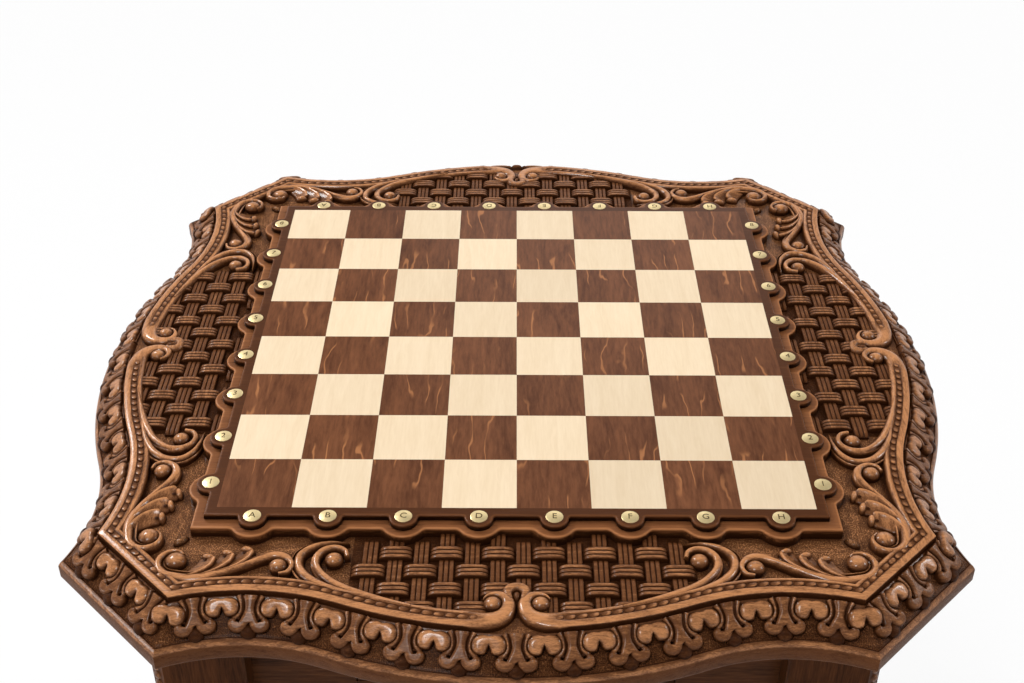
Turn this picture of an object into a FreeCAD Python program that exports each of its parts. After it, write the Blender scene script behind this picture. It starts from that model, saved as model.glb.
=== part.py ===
import FreeCAD, Part
import math
import os

from FreeCAD import Vector

# A chess table: a carved top with an ogee edge and a raised inlaid board, on four cabriole legs.
# Millimetres, +Z up, origin on the floor under the middle of the board, players at -Y and +Y.

# Playing board
table_height = 750.0          # floor to playing surface
square = 50.0                 # one square of the board
squares_per_side = 8
board_margin = 7.5            # dark strip round the squares
board_thickness = 4.5
square_thickness = 2.2        # depth of the inlay
lobe_outset = 1.0             # lobe centres stand this far outside the board's edge
board_lobe_radius = 9.5
disc_radius = 5.9
disc_thickness = 0.8
disc_sides = 8
lobe_sides = 12               # facets of a round lobe, all round
plinth_step = 8.0             # ledge of the plinth round the board
plinth_thickness = 8.0
plinth_lobe_radius = 15.0

# Carved border boards
border_reach = 110.5          # plinth edge to the crest of the bow
waist_depth = 31.6            # bow crest to the hollow of the edge
waist_at = 171.0              # hollow's place along the side, from its middle
waist_radius = 143.0
corner_run = 53.5             # hollow to the canted corner, along the side
rim_width = 23.5              # sloping band outside the beaded moulding
rim_drop = 17.0
edge_height = 12.5
frame_lap = 25.5              # border boards run this far in under the plinth
moulding_step = 1.0           # ledge outside the moulding
moulding_width = 14.0
moulding_height = 6.0
moulding_bevel = 3.0
groove_width = 6.0            # round the core panel
groove_depth = 8.0
fit_gap = 0.2                 # clearance of tongues and tenons in their slots
tongue_thickness = 5.0        # loose tongues across the mitres
tongue_length = 50.0
tongue_width = 24.0
tongue_setback = 10.0

# Carving in relief on the border boards
relief_root = 1.0             # reliefs start this far below the ground
relief_clearance = 0.4        # reliefs stay this far outside the plinth
weave_pitch = 16.2
weave_strip = 9.0
weave_height = 4.2
weave_gap = 1.0               # between a strip's end and the strip that it dives under
weave_crown_share = 0.55      # flat crown of a strip, of its length
weave_half_width = 106.0
weave_turn = 26.0             # rounding of the panel's outer corners
weave_border = 1.5            # clear of the moulding
weave_first_row = 2.5         # first row of crossings, outside the plinth
weave_rows = 5
weave_columns = 15
weave_whole_share = 0.99      # strips that the panel's edge would cut shorter are left out
scroll_height = 5.6
scroll_facet = 45             # degrees
eye_share = 0.75              # boss at a scroll's heart, of its band
eye_sides = 6
volute_radius = 10.5          # pair of volutes at the middle of a side
volute_band = 8.0
volute_gap = 1.0
volute_turn_shares = [(1.0, 180), (0.62, 150)]
hook_radius = 10.3            # scroll that ends the woven panel
hook_band = 5.5
hook_at_share = 0.702         # along the side, of the hollow's place
hook_out_share = 0.6          # outwards, of the field between plinth and moulding
hook_turn_shares = [(0.58, 180), (1.0, 180), (2.33, 50), (8.2, 30)]
leaf_radius = 10.5            # acanthus scroll beside the canted corner
leaf_band = 5.0
leaf_at_share = 1.28          # along the side, of the hollow's place
leaf_out_share = 0.6
leaf_turn_shares = [(0.5, 180), (1.0, 180), (1.45, 95), (14.3, 22), (-0.86, 140), (-0.52, 150)]

# Legs and aprons
leg_setback = 44.0            # hollow of the top's edge to the leg's outer face
leg_block = 66.4
leg_curve_shares = [(1.0, 1.0, 0.0), (0.9, 1.1, 0.06), (0.76, 1.03, 0.16), (0.55, 0.8, 0.22),
                    (0.34, 0.66, 0.2), (0.17, 0.7, 0.2), (0.07, 0.98, 0.32), (0.0, 0.94, 0.38)]
knee_flat = 6.0               # the leg stays square this far below the apron
arris_cut = 10.0              # flat along the leg's outer corner
arris_foot_share = 0.7        # the flat narrows to this at the foot
leg_curve_facets = 20
glide_radius = 12.0
glide_thickness = 4.0
glide_sides = 12
apron_setback = 18.4          # leg's outer face to the apron's
apron_thickness = 20.0
apron_height = 120.0
bracket_radius = 24.0         # hollow at each end of an apron's lower edge
bracket_toe = 8.0
tenon_thickness = 10.0
tenon_length = 24.0
tenon_shoulder = 16.0
corner_block_run = 44.0       # of a corner block along each apron
corner_block_thickness = 24.0
screw_radius = 2.0
screw_head_radius = 4.0
screw_head_height = 2.5
screw_bite = 14.0             # into the border boards
screw_along_share = 0.45      # of the corner block's run
screw_setback = 7.0           # behind the apron
screw_sides = 8

# Drawers, one to each player
drawer_half_width = 112.0     # opening in the apron
drawer_opening = 70.0         # height of the opening
drawer_top_rail = 22.0
drawer_gap = 1.0              # shadow line round the drawer front
drawer_cheek = 7.0            # opening's cheek to the runner's fence
slide_gap = 0.3
drawer_front_thickness = 18.0
drawer_side_thickness = 10.0
drawer_side_height = 55.0
drawer_bottom_thickness = 4.0
drawer_bottom_rise = 6.0
drawer_bottom_bite = 4.0      # edges of the bottom let into grooves
divider_thickness = 12.0
divider_height = 40.0
divider_gap = 2.0             # behind a closed drawer
runner_ledge = 13.0
runner_thickness = 12.0
fence_width = 20.0
fence_height = 24.0
kicker_gap = 2.0              # above the drawer's sides
knob_radius = 11.0
knob_reach = 20.0             # proud of the drawer front
knob_neck_radius = 5.5
knob_base_radius = 8.0
knob_base_height = 2.5
knob_head_height = 11.0
knob_dome_height = 5.0
knob_dome_shares = [(0.87, 0.5), (0.5, 0.87), (0.15, 1.0)]
knob_sides = 12
knob_stem_radius = 4.0
knob_stem_length = 12.0

overrun = 5.0                 # cuts run past the faces that they open

# Places that follow from the sizes
field_half = square * squares_per_side / 2
board_half = field_half + board_margin
lobe_line = board_half + lobe_outset
plinth_half = board_half + plinth_step
top_half = plinth_half + border_reach
waist_reach = top_half - waist_depth
frame_half = plinth_half - frame_lap
board_base = table_height - board_thickness
ground = board_base - plinth_thickness
rim_level = ground - rim_drop
underside = rim_level - edge_height
slab_middle = (ground + underside) / 2
moulding_inset = rim_width + moulding_step
field_inset = moulding_inset + moulding_width
bow_radius = (waist_at ** 2 + waist_depth ** 2) / (2 * waist_depth) - waist_radius
bow_centre = top_half - bow_radius
waist_centre = waist_reach + waist_radius
corner_out = waist_centre - math.sqrt(waist_radius ** 2 - corner_run ** 2)
corner_sum = waist_at + corner_run + corner_out
leg_outer = waist_reach - leg_setback
leg_inner = leg_outer - leg_block
leg_square_foot = underside - apron_height - bracket_radius - knee_flat
leg_curve_height = leg_square_foot - glide_thickness
apron_face = leg_outer - apron_setback
apron_back = apron_face - apron_thickness
apron_foot = underside - apron_height
opening_top = underside - drawer_top_rail
opening_foot = opening_top - drawer_opening
fence_face = drawer_half_width - drawer_cheek
side_face = fence_face - slide_gap
side_inner = side_face - drawer_side_thickness
side_foot = opening_foot + slide_gap
side_top = side_foot + drawer_side_height
front_back = apron_face - drawer_front_thickness
drawer_end = divider_thickness / 2 + divider_gap
bottom_foot = side_foot + drawer_bottom_rise
bottom_top = bottom_foot + drawer_bottom_thickness

up = Vector(0, 0, 1)
sides = ["front", "right", "back", "left"]
quarter = 360 / len(sides)


def block(x0, x1, y0, y1, z0, z1):
    return Part.makeBox(x1 - x0, y1 - y0, z1 - z0, Vector(x0, y0, z0))


def turned(shape, degrees):
    copy = shape.copy()
    copy.rotate(Vector(), up, degrees)
    return copy


def all_round(shape):
    return [turned(shape, step * quarter) for step in range(len(sides))]


def mirrored(shape):
    return shape.mirror(Vector(), Vector(1, 0, 0))


def line(start, end):
    return Part.LineSegment(start, end).toShape()


def polygon(points):
    return Part.Face(Part.makePolygon(points + points[:1]))


def ring_corners(radius, sides_round, centre):
    return [centre + Vector(math.cos(turn), math.sin(turn), 0) * radius
            for turn in (2 * math.pi * corner / sides_round for corner in range(sides_round))]


def regular_prism(radius, sides_round, height, centre):
    return raised(polygon(ring_corners(radius, sides_round, centre)), height)


# Solid through a row of rings that have the same number of corners
def ring_solid(rings):
    faces = [polygon(rings[0]), polygon(rings[-1])]
    for lower, upper in zip(rings, rings[1:]):
        faces += [polygon([lower[side - 1], lower[side], upper[side], upper[side - 1]])
                  for side in range(len(lower))]
    return Part.Solid(Part.Shell(faces)).removeSplitter()


# Turned piece on the Z axis; its outline lists radii and heights
def turned_solid(outline, sides_round, centre):
    return ring_solid([ring_corners(radius, sides_round, centre + up * height)
                       for radius, height in outline])


def raised(face, height):
    return face.extrude(up * height)


# One side of the top, from the middle of one canted corner to the next
def side_path(inset, level):
    bow = bow_radius - inset
    waist = waist_radius + inset
    inflection = math.atan2(waist_at, waist_centre - bow_centre)
    reach = corner_sum - inset * math.sqrt(2)
    lean = waist_centre + waist_at - reach
    run = (math.sqrt(2 * waist ** 2 - lean ** 2) - lean) / 2
    corner_turn = math.asin(run / waist)

    def on_bow(turn):
        return Vector(bow * math.sin(turn), -bow_centre - bow * math.cos(turn), level)

    def on_waist(turn, hand):
        along = waist_at + waist * math.sin(turn)
        return Vector(hand * along, waist * math.cos(turn) - waist_centre, level)

    def waist_arc(hand):
        middle = (corner_turn - inflection) / 2
        ends = [on_waist(turn, hand) for turn in (corner_turn, middle, -inflection)]
        return Part.Arc(*ends).toShape()

    corners = [Vector(hand * reach / 2, -reach / 2, level) for hand in (-1, 1)]
    return [line(corners[0], on_waist(corner_turn, -1)),
            waist_arc(-1),
            Part.Arc(on_bow(-inflection), on_bow(0), on_bow(inflection)).toShape(),
            waist_arc(1),
            line(on_waist(corner_turn, 1), corners[1])], corners


def sector_wire(inset, level):
    edges, corners = side_path(inset, level)
    inner = [Vector(hand * frame_half, -frame_half, level) for hand in (1, -1)]
    return Part.Wire(edges + [line(corners[1], inner[0]), line(*inner), line(inner[1], corners[0])])


def band_wire(outer_inset, inner_inset, level):
    outer, outer_ends = side_path(outer_inset, level)
    inner, inner_ends = side_path(inner_inset, level)
    return Part.Wire(outer + [line(outer_ends[1], inner_ends[1])] + inner[::-1]
                     + [line(inner_ends[0], outer_ends[0])])


# Straight-sided solid between two wires, with true planes where its faces are flat
def tapered(lower, upper):
    faces = []
    for face in Part.makeLoft([lower, upper], True, True).Faces:
        plane = face.findPlane()
        faces.append(Part.Face(plane, face.OuterWire) if plane else face)
    return Part.Solid(Part.Shell(faces))


def border_slab():
    edge = raised(Part.Face(sector_wire(0, underside)), edge_height)
    return edge.fuse(tapered(sector_wire(0, rim_level), sector_wire(rim_width, ground)))


# Moulding that the beads are cut in; it stops at the volutes in the middle of the side
def moulding():
    shoulder = ground + moulding_height - moulding_bevel
    root = ground - relief_root
    lower = raised(Part.Face(band_wire(moulding_inset, field_inset, root)), shoulder - root)
    upper = tapered(band_wire(moulding_inset, field_inset, shoulder),
                    band_wire(moulding_inset + moulding_bevel, field_inset - moulding_bevel,
                              shoulder + moulding_bevel))
    half_gap = volute_start()
    gap = block(-half_gap, half_gap, -top_half, -plinth_half, underside, table_height)
    return lower.fuse(upper).cut(gap)


# Band that winds along arcs: each turn is a share of the size, clockwise, or the other way if negative
def scroll(start_x, start_y, heading, size, turn_shares, band, eye_first):
    level = ground - relief_root
    height = relief_root + scroll_height
    point = Vector(start_x, start_y, level)
    angle = math.radians(heading)
    left, right, spine = [], [], [point]
    for share, sweep in turn_shares:
        hand = -1 if share > 0 else 1
        radius = abs(share) * size
        centre = point + Vector(-math.sin(angle), math.cos(angle), 0) * (hand * radius)
        facets = math.ceil(sweep / scroll_facet)
        for facet in range(facets + 1):
            turn = angle + hand * (math.radians(sweep) * facet / facets - math.pi / 2)
            spoke = Vector(math.cos(turn), math.sin(turn), 0)
            left.append(centre + spoke * (radius - hand * band / 2))
            right.append(centre + spoke * (radius + hand * band / 2))
        left.pop()
        right.pop()
        point = centre + spoke * radius
        spine.append(point)
        angle += hand * math.radians(sweep)
    across = Vector(-math.sin(angle), math.cos(angle), 0) * (band / 2)
    left.append(point + across)
    right.append(point - across)
    eye = regular_prism(eye_share * band, eye_sides, height, spine[0] if eye_first else spine[-1])
    return raised(polygon(left + right[::-1]), height).fuse(eye)


def volute_start():
    return volute_radius + volute_band / 2 + volute_gap


def field_line(out_share):
    return -(plinth_half + out_share * (waist_reach - field_inset - plinth_half))


def scrolls():
    volute_line = -(top_half - moulding_inset - volute_band / 2)
    volute = scroll(volute_start(), volute_line, 180, volute_radius, volute_turn_shares,
                    volute_band, False)
    hook = scroll(hook_at_share * waist_at, field_line(hook_out_share), -90, hook_radius,
                  hook_turn_shares, hook_band, True)
    leaf = scroll(leaf_at_share * waist_at, field_line(leaf_out_share), -90, leaf_radius,
                  leaf_turn_shares, leaf_band, True)
    one_hand = [volute, hook, leaf]
    return one_hand + [mirrored(shape) for shape in one_hand]


# Basket weave between the plinth and the moulding
def weave_panel():
    level = ground - relief_root
    near = -(plinth_half + relief_clearance)
    bow = bow_radius - field_inset - weave_border
    turn_x = weave_half_width - weave_turn
    far = -bow_centre - math.sqrt(bow ** 2 - turn_x ** 2)
    knee = far + weave_turn
    slant = weave_turn * math.sqrt(2) / 2

    def corner(hand):
        return Part.Arc(Vector(hand * weave_half_width, knee, level),
                        Vector(hand * (turn_x + slant), knee - slant, level),
                        Vector(hand * turn_x, far, level)).toShape()

    edges = [line(Vector(-weave_half_width, near, level), Vector(weave_half_width, near, level)),
             line(Vector(weave_half_width, near, level), Vector(weave_half_width, knee, level)),
             corner(1),
             Part.Arc(Vector(turn_x, far, level), Vector(0, -bow_centre - bow, level),
                      Vector(-turn_x, far, level)).toShape(),
             corner(-1),
             line(Vector(-weave_half_width, knee, level), Vector(-weave_half_width, near, level))]
    return raised(Part.Face(Part.Wire(edges)), relief_root + weave_height + overrun)


def weave_strips():
    length = 2 * (weave_pitch - weave_strip / 2 - weave_gap)
    crown = weave_crown_share * length
    top = ground + weave_height
    root = ground - relief_root
    profile = [Vector(-length / 2, -weave_strip / 2, root), Vector(-length / 2, -weave_strip / 2, ground),
               Vector(-crown / 2, -weave_strip / 2, top), Vector(crown / 2, -weave_strip / 2, top),
               Vector(length / 2, -weave_strip / 2, ground), Vector(length / 2, -weave_strip / 2, root)]
    strip = polygon(profile).extrude(Vector(0, weave_strip, 0))
    middle = weave_columns // 2
    strips = []
    for row in range(weave_rows):
        for column in range(-middle, middle + 1):
            over = turned(strip, 0 if (row + column) % 2 == 0 else quarter)
            out = plinth_half + weave_first_row + row * weave_pitch
            strips.append(placed(over, Vector(column * weave_pitch, -out, 0)))
    lobes = [Part.makeCylinder(plinth_lobe_radius + relief_clearance, table_height - underside,
                               Vector(place, -lobe_line, underside)) for place in lobe_places()]
    room = weave_panel().cut(lobes)
    return [piece for piece in strips if piece.common(room).Volume > weave_whole_share * strip.Volume]


def lobe_places():
    middle = (squares_per_side - 1) / 2
    return [(file - middle) * square for file in range(squares_per_side)]


def mitre_tongue(clearance):
    first = (frame_half + groove_depth) * math.sqrt(2) + tongue_setback
    tongue = block(first - clearance, first + tongue_length + clearance,
                   -tongue_width / 2 - clearance, tongue_width / 2 + clearance,
                   slab_middle - tongue_thickness / 2 - clearance,
                   slab_middle + tongue_thickness / 2 + clearance)
    return turned(tongue, -45)


# Screw up through a corner block into the right end of the front border board
def top_screw():
    along = leg_inner - screw_along_share * corner_block_run
    place = Vector(along, screw_setback - apron_back, underside - corner_block_thickness)
    outline = [(screw_head_radius, 0), (screw_radius, screw_head_height),
               (screw_radius, corner_block_thickness + screw_bite)]
    return turned_solid(outline, screw_sides, place)


def placed(shape, place):
    copy = shape.copy()
    copy.translate(place)
    return copy


def border_board():
    carving = [moulding()] + scrolls() + weave_strips()
    board = border_slab().multiFuse(carving)
    groove_end = frame_half + groove_depth
    groove = block(-groove_end, groove_end, -groove_end, -frame_half + overrun,
                   slab_middle - groove_width / 2, slab_middle + groove_width / 2)
    slots = [turned(mitre_tongue(fit_gap), turn) for turn in (0, -quarter)]
    return board.cut([groove] + slots + [top_screw()])


def core_panel():
    half = frame_half - fit_gap
    body = block(-half, half, -half, half, underside, ground)
    edge = half + groove_depth
    thick = groove_width / 2 - fit_gap
    return body.fuse(block(-edge, edge, -edge, edge, slab_middle - thick, slab_middle + thick))


# Plate with a round lobe opposite each square
def lobed_plate(half, lobe_radius, base, thickness):
    plate = block(-half, half, -half, half, base, base + thickness)
    lobes = [regular_prism(lobe_radius, lobe_sides, thickness, Vector(place, -lobe_line, base))
             for place in lobe_places()]
    every_lobe = [copy for lobe in lobes for copy in all_round(lobe)]
    return plate.multiFuse(every_lobe).removeSplitter()


def board_panel():
    pocket = block(-field_half, field_half, -field_half, field_half,
                   table_height - square_thickness, table_height + overrun)
    return lobed_plate(board_half, board_lobe_radius, board_base, board_thickness).cut(pocket)


# Near left square is dark
def squares(parity):
    base = table_height - square_thickness
    tiles = []
    for file in range(squares_per_side):
        for rank in range(squares_per_side):
            if (file + rank) % 2 == parity:
                x = file * square - field_half
                y = rank * square - field_half
                tiles.append(block(x, x + square, y, y + square, base, table_height))
    return Part.makeCompound(tiles)


def coordinate_discs():
    row = [regular_prism(disc_radius, disc_sides, disc_thickness, Vector(place, -lobe_line, table_height))
           for place in lobe_places()]
    return Part.makeCompound([copy for disc in row for copy in all_round(disc)])


# Section of the back right leg: square, with a flat across its outer corner
def leg_section(outer_share, inner_share, flat, level):
    outer = leg_inner + outer_share * leg_block
    inner = leg_inner + inner_share * leg_block
    return [Vector(inner, inner, level), Vector(outer, inner, level), Vector(outer, outer - flat, level),
            Vector(outer - flat, outer, level), Vector(inner, outer, level)]


# Cabriole leg: a square block beside the aprons, then an S-shaped taper down to the foot
def leg():
    curve = Part.BSplineCurve()
    curve.interpolate([Vector(*shares) for shares in leg_curve_shares])
    sections = [leg_section(1, 0, arris_cut, underside)]
    for high_share, outer_share, inner_share in curve.discretize(Number=leg_curve_facets + 1):
        flat = arris_cut * (arris_foot_share + (1 - arris_foot_share) * high_share)
        level = glide_thickness + high_share * leg_curve_height
        sections.append(leg_section(outer_share, inner_share, flat, level))
    body = ring_solid(sections)
    mortise = tenon(fit_gap)
    return body.cut([turned(mortise, 2 * quarter), turned(mirrored(mortise), quarter)])


# Tenon at the left end of the front apron
def tenon(clearance):
    middle = -(apron_face + apron_back) / 2
    thick = tenon_thickness / 2 + clearance
    return block(-leg_inner - tenon_length - clearance, -leg_inner, middle - thick, middle + thick,
                 apron_foot + tenon_shoulder - clearance, underside - tenon_shoulder + clearance)


def apron(with_drawer):
    toe = apron_foot - bracket_radius
    inner_x = leg_inner - bracket_toe
    hollow_x = inner_x - bracket_radius
    slant = bracket_radius * math.sqrt(2) / 2
    y = -apron_face

    def bracket(hand):
        return Part.Arc(Vector(hand * inner_x, y, toe), Vector(hand * (hollow_x + slant), y, toe + slant),
                        Vector(hand * hollow_x, y, apron_foot)).toShape()

    edges = [line(Vector(-leg_inner, y, underside), Vector(leg_inner, y, underside)),
             line(Vector(leg_inner, y, underside), Vector(leg_inner, y, toe)),
             line(Vector(leg_inner, y, toe), Vector(inner_x, y, toe)),
             bracket(1),
             line(Vector(hollow_x, y, apron_foot), Vector(-hollow_x, y, apron_foot)),
             bracket(-1),
             line(Vector(-inner_x, y, toe), Vector(-leg_inner, y, toe)),
             line(Vector(-leg_inner, y, toe), Vector(-leg_inner, y, underside))]
    board = Part.Face(Part.Wire(edges)).extrude(Vector(0, apron_thickness, 0))
    board = board.multiFuse([tenon(0), mirrored(tenon(0))])
    if with_drawer:
        board = board.cut(block(-drawer_half_width, drawer_half_width, y - overrun,
                                -apron_back + overrun, opening_foot, opening_top))
    return board


def corner_block():
    base = underside - corner_block_thickness
    near = leg_inner - corner_block_run
    plan = [Vector(near, -apron_back, base), Vector(leg_inner, -apron_back, base),
            Vector(leg_inner, -leg_inner, base), Vector(apron_back, -leg_inner, base),
            Vector(apron_back, -near, base)]
    return raised(polygon(plan), corner_block_thickness).cut(top_screw())


def four(shape):
    return Part.makeCompound(all_round(shape))


def foot_glide():
    share = (leg_curve_shares[-1][1] + leg_curve_shares[-1][2]) / 2
    place = leg_inner + share * leg_block
    return regular_prism(glide_radius, glide_sides, glide_thickness, Vector(place, -place, 0))


# Drawer runner with its guide fence, and the kicker that stops an open drawer from tipping
def runner():
    ledge = block(fence_face - runner_ledge, fence_face + fence_width, -apron_back, apron_back,
                  opening_foot - runner_thickness, opening_foot)
    return ledge.fuse(block(fence_face, fence_face + fence_width, -apron_back, apron_back,
                            opening_foot, opening_foot + fence_height)).removeSplitter()


def kicker():
    return block(fence_face - runner_ledge, fence_face + fence_width, -apron_back, apron_back,
                 side_top + kicker_gap, underside)


def drawer_divider():
    return block(-fence_face, fence_face, -divider_thickness / 2, divider_thickness / 2,
                 opening_foot, opening_foot + divider_height)


# Front drawer; the back one is the same, turned about
def bottom_panel(clearance):
    edge = side_inner + drawer_bottom_bite - fit_gap + clearance
    return block(-edge, edge, -front_back - drawer_bottom_bite + fit_gap - clearance, -drawer_end,
                 bottom_foot - clearance, bottom_top)


def drawer_front():
    half = drawer_half_width - drawer_gap
    board = block(-half, half, -apron_face, -front_back, opening_foot + drawer_gap, opening_top - drawer_gap)
    return board.cut([bottom_panel(fit_gap), knob()])


def drawer_side():
    board = block(side_inner, side_face, -front_back, -drawer_end, side_foot, side_top)
    return board.cut(placed(bottom_panel(fit_gap), Vector(0, overrun, 0)).fuse(bottom_panel(fit_gap)))


def drawer_back():
    return block(-side_inner, side_inner, -drawer_end - drawer_side_thickness, -drawer_end,
                 bottom_top, side_top)


def knob_centre():
    return Vector(0, -apron_face, (opening_foot + opening_top) / 2)


# Turned knob with a stem let into the drawer front
def knob():
    head_foot = knob_reach - knob_head_height
    belly = knob_reach - knob_dome_height
    outline = [(knob_stem_radius, -knob_stem_length), (knob_stem_radius, 0), (knob_base_radius, 0),
               (knob_base_radius, knob_base_height), (knob_neck_radius, (knob_base_height + head_foot) / 2),
               (knob_base_radius, head_foot), (knob_radius, (head_foot + belly) / 2), (knob_radius, belly)]
    outline += [(knob_radius * reach_share, belly + knob_dome_height * rise_share)
                for reach_share, rise_share in knob_dome_shares]
    upright = turned_solid(outline, knob_sides, Vector())
    upright.rotate(Vector(), Vector(1, 0, 0), quarter)
    return placed(upright, knob_centre())


def drawer(place, turn):
    pieces = {"front": drawer_front(), "right_side": drawer_side(), "left_side": mirrored(drawer_side()),
              "back": drawer_back(), "bottom": bottom_panel(0), "knob": knob()}
    return {f"{place}_drawer_{name}": turned(shape, turn) for name, shape in pieces.items()}


def assembly():
    board = border_board()
    limb = leg()
    nodes = {f"border_{place}": copy for place, copy in zip(sides, all_round(board))}
    nodes["mitre_tongues"] = four(mitre_tongue(0))
    nodes["core_panel"] = core_panel()
    nodes["board_plinth"] = lobed_plate(plinth_half, plinth_lobe_radius, ground, plinth_thickness)
    nodes["board_panel"] = board_panel()
    nodes["dark_squares"] = squares(0)
    nodes["light_squares"] = squares(1)
    nodes["coordinate_discs"] = coordinate_discs()
    corners = ["back_right", "back_left", "front_left", "front_right"]
    nodes.update({f"leg_{place}": copy for place, copy in zip(corners, all_round(limb))})
    for step, place in enumerate(sides):
        nodes[f"apron_{place}"] = turned(apron(place in ("front", "back")), step * quarter)
    nodes["corner_blocks"] = four(corner_block())
    nodes["top_screws"] = four(top_screw())
    nodes["foot_glides"] = four(foot_glide())
    nodes["drawer_runner_right"] = runner()
    nodes["drawer_runner_left"] = mirrored(runner())
    nodes["drawer_kicker_right"] = kicker()
    nodes["drawer_kicker_left"] = mirrored(kicker())
    nodes["drawer_divider"] = drawer_divider()
    nodes.update(drawer("front", 0))
    nodes.update(drawer("back", 2 * quarter))
    return nodes


os.makedirs("parts", exist_ok=True)
for node, shape in assembly().items():
    shape.exportStep(f"parts/{node}.step")
    state = "valid" if shape.isValid() else "INVALID"
    print(node, len(shape.Solids), "solids", round(shape.Volume), "mm3", state)
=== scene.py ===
import math

import bmesh
import bpy
import numpy as np
from mathutils import Matrix, Vector


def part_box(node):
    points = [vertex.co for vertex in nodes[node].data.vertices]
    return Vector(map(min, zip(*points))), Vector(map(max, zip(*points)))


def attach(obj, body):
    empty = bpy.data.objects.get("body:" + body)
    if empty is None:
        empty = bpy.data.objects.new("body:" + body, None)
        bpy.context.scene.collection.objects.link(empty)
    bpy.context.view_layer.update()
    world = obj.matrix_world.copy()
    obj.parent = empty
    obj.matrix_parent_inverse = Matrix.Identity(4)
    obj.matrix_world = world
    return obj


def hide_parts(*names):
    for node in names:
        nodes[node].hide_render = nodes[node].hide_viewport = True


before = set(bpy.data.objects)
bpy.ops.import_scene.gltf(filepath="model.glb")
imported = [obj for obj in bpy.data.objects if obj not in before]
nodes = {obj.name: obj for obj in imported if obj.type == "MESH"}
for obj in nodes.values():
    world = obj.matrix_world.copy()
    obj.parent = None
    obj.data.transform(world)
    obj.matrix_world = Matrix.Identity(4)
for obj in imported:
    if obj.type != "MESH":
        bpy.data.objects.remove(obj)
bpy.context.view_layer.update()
mm = 0.001
sideNames = ["front", "right", "back", "left"]  # each a quarter turn on from the last
print("frame loaded:", len(nodes), "nodes")


# Levels and reaches, in millimetres, read from the frame
def low(node):
    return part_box(node)[0] / mm


def high(node):
    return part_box(node)[1] / mm


boardTop = high("dark_squares").z
boardBase = low("board_panel").z
fieldLevel = low("board_plinth").z
underside = low("border_front").z
topReach = high("border_right").x
coreReach = high("core_panel").x

# Serpentine outline of the top: a bow in the middle, a hollow each side, canted corners
outline = {
    "bowRadius": 335.47,
    "waistRadius": 143.0,
    "waistAt": 171.0,
    "waistCentre": 437.4,
    "cornerSum": 529.29,  # along a canted corner, the two distances from the middle add up to this
    "lineSteps": 10,
    "waistSteps": 26,
    "bowSteps": 60,
}
bowCentre = topReach - outline["bowRadius"]
bowAngle = math.atan2(outline["waistAt"], outline["waistCentre"] - bowCentre)


def sidePath(inset):
    # one side of the outline, drawn in by inset, from corner to corner: (along, outward) points
    waistRadius = outline["waistRadius"] + inset
    bowRadius = outline["bowRadius"] - inset
    cornerSum = outline["cornerSum"] - inset * math.sqrt(2)
    spread = cornerSum - outline["waistAt"] - outline["waistCentre"]
    cornerAngle = math.pi / 4 + math.asin(spread / (waistRadius * math.sqrt(2)))
    half = []
    for turn in np.linspace(0, bowAngle, outline["bowSteps"] // 2 + 1):
        half.append((bowRadius * math.sin(turn), bowCentre + bowRadius * math.cos(turn)))
    for turn in np.linspace(-bowAngle, cornerAngle, outline["waistSteps"] + 1)[1:]:
        half.append((outline["waistAt"] + waistRadius * math.sin(turn),
                     outline["waistCentre"] - waistRadius * math.cos(turn)))
    corner = np.array(half[-1])
    middle = np.array([cornerSum / 2, cornerSum / 2])
    for share in np.linspace(0, 1, outline["lineSteps"] + 1)[1:]:
        half.append(tuple(corner + (middle - corner) * share))
    half = np.array(half)
    left = half[:0:-1] * [-1, 1]
    return np.vstack([left, half])


def fieldReach(along, inset):
    # how far out the bow reaches at a place along the side
    return bowCentre + math.sqrt((outline["bowRadius"] - inset) ** 2 - along ** 2)


def toSide(points, side):
    # (along, outward, level) of one side into the frame, still in millimetres
    points = np.asarray(points, float)
    turn = math.radians(90 * side)
    x, y = points[:, 0], -points[:, 1]
    return np.column_stack([x * math.cos(turn) - y * math.sin(turn),
                            x * math.sin(turn) + y * math.cos(turn), points[:, 2]])


# Shapes are collected as points, faces and a lift for each point: 0 in a hollow, 1 on a rubbed crest
def newShape():
    return {"points": [], "faces": [], "lift": [], "punch": []}


def addPoints(shape, points, lift, punch=0.0):
    start = len(shape["points"])
    count = len(points)
    shape["points"].extend([tuple(point) for point in points])
    shape["lift"].extend(np.broadcast_to(lift, count).tolist())
    shape["punch"].extend(np.broadcast_to(punch, count).tolist())
    return start


def addTube(shape, rings, lift, punch=0.0):
    # closed rings one after another, with a face over each end
    rings = np.asarray(rings, float)
    count, size = rings.shape[:2]
    lift = np.broadcast_to(lift, (count, size)).ravel()
    punch = np.broadcast_to(punch, (count, size)).ravel()
    start = addPoints(shape, rings.reshape(-1, 3), lift, punch)
    for ring in range(count - 1):
        for spot in range(size):
            a = start + ring * size + spot
            b = start + ring * size + (spot + 1) % size
            shape["faces"].append((a, b, b + size, a + size))
    shape["faces"].append(tuple(range(start, start + size)))
    last = start + (count - 1) * size
    shape["faces"].append(tuple(range(last + size - 1, last - 1, -1)))


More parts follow.
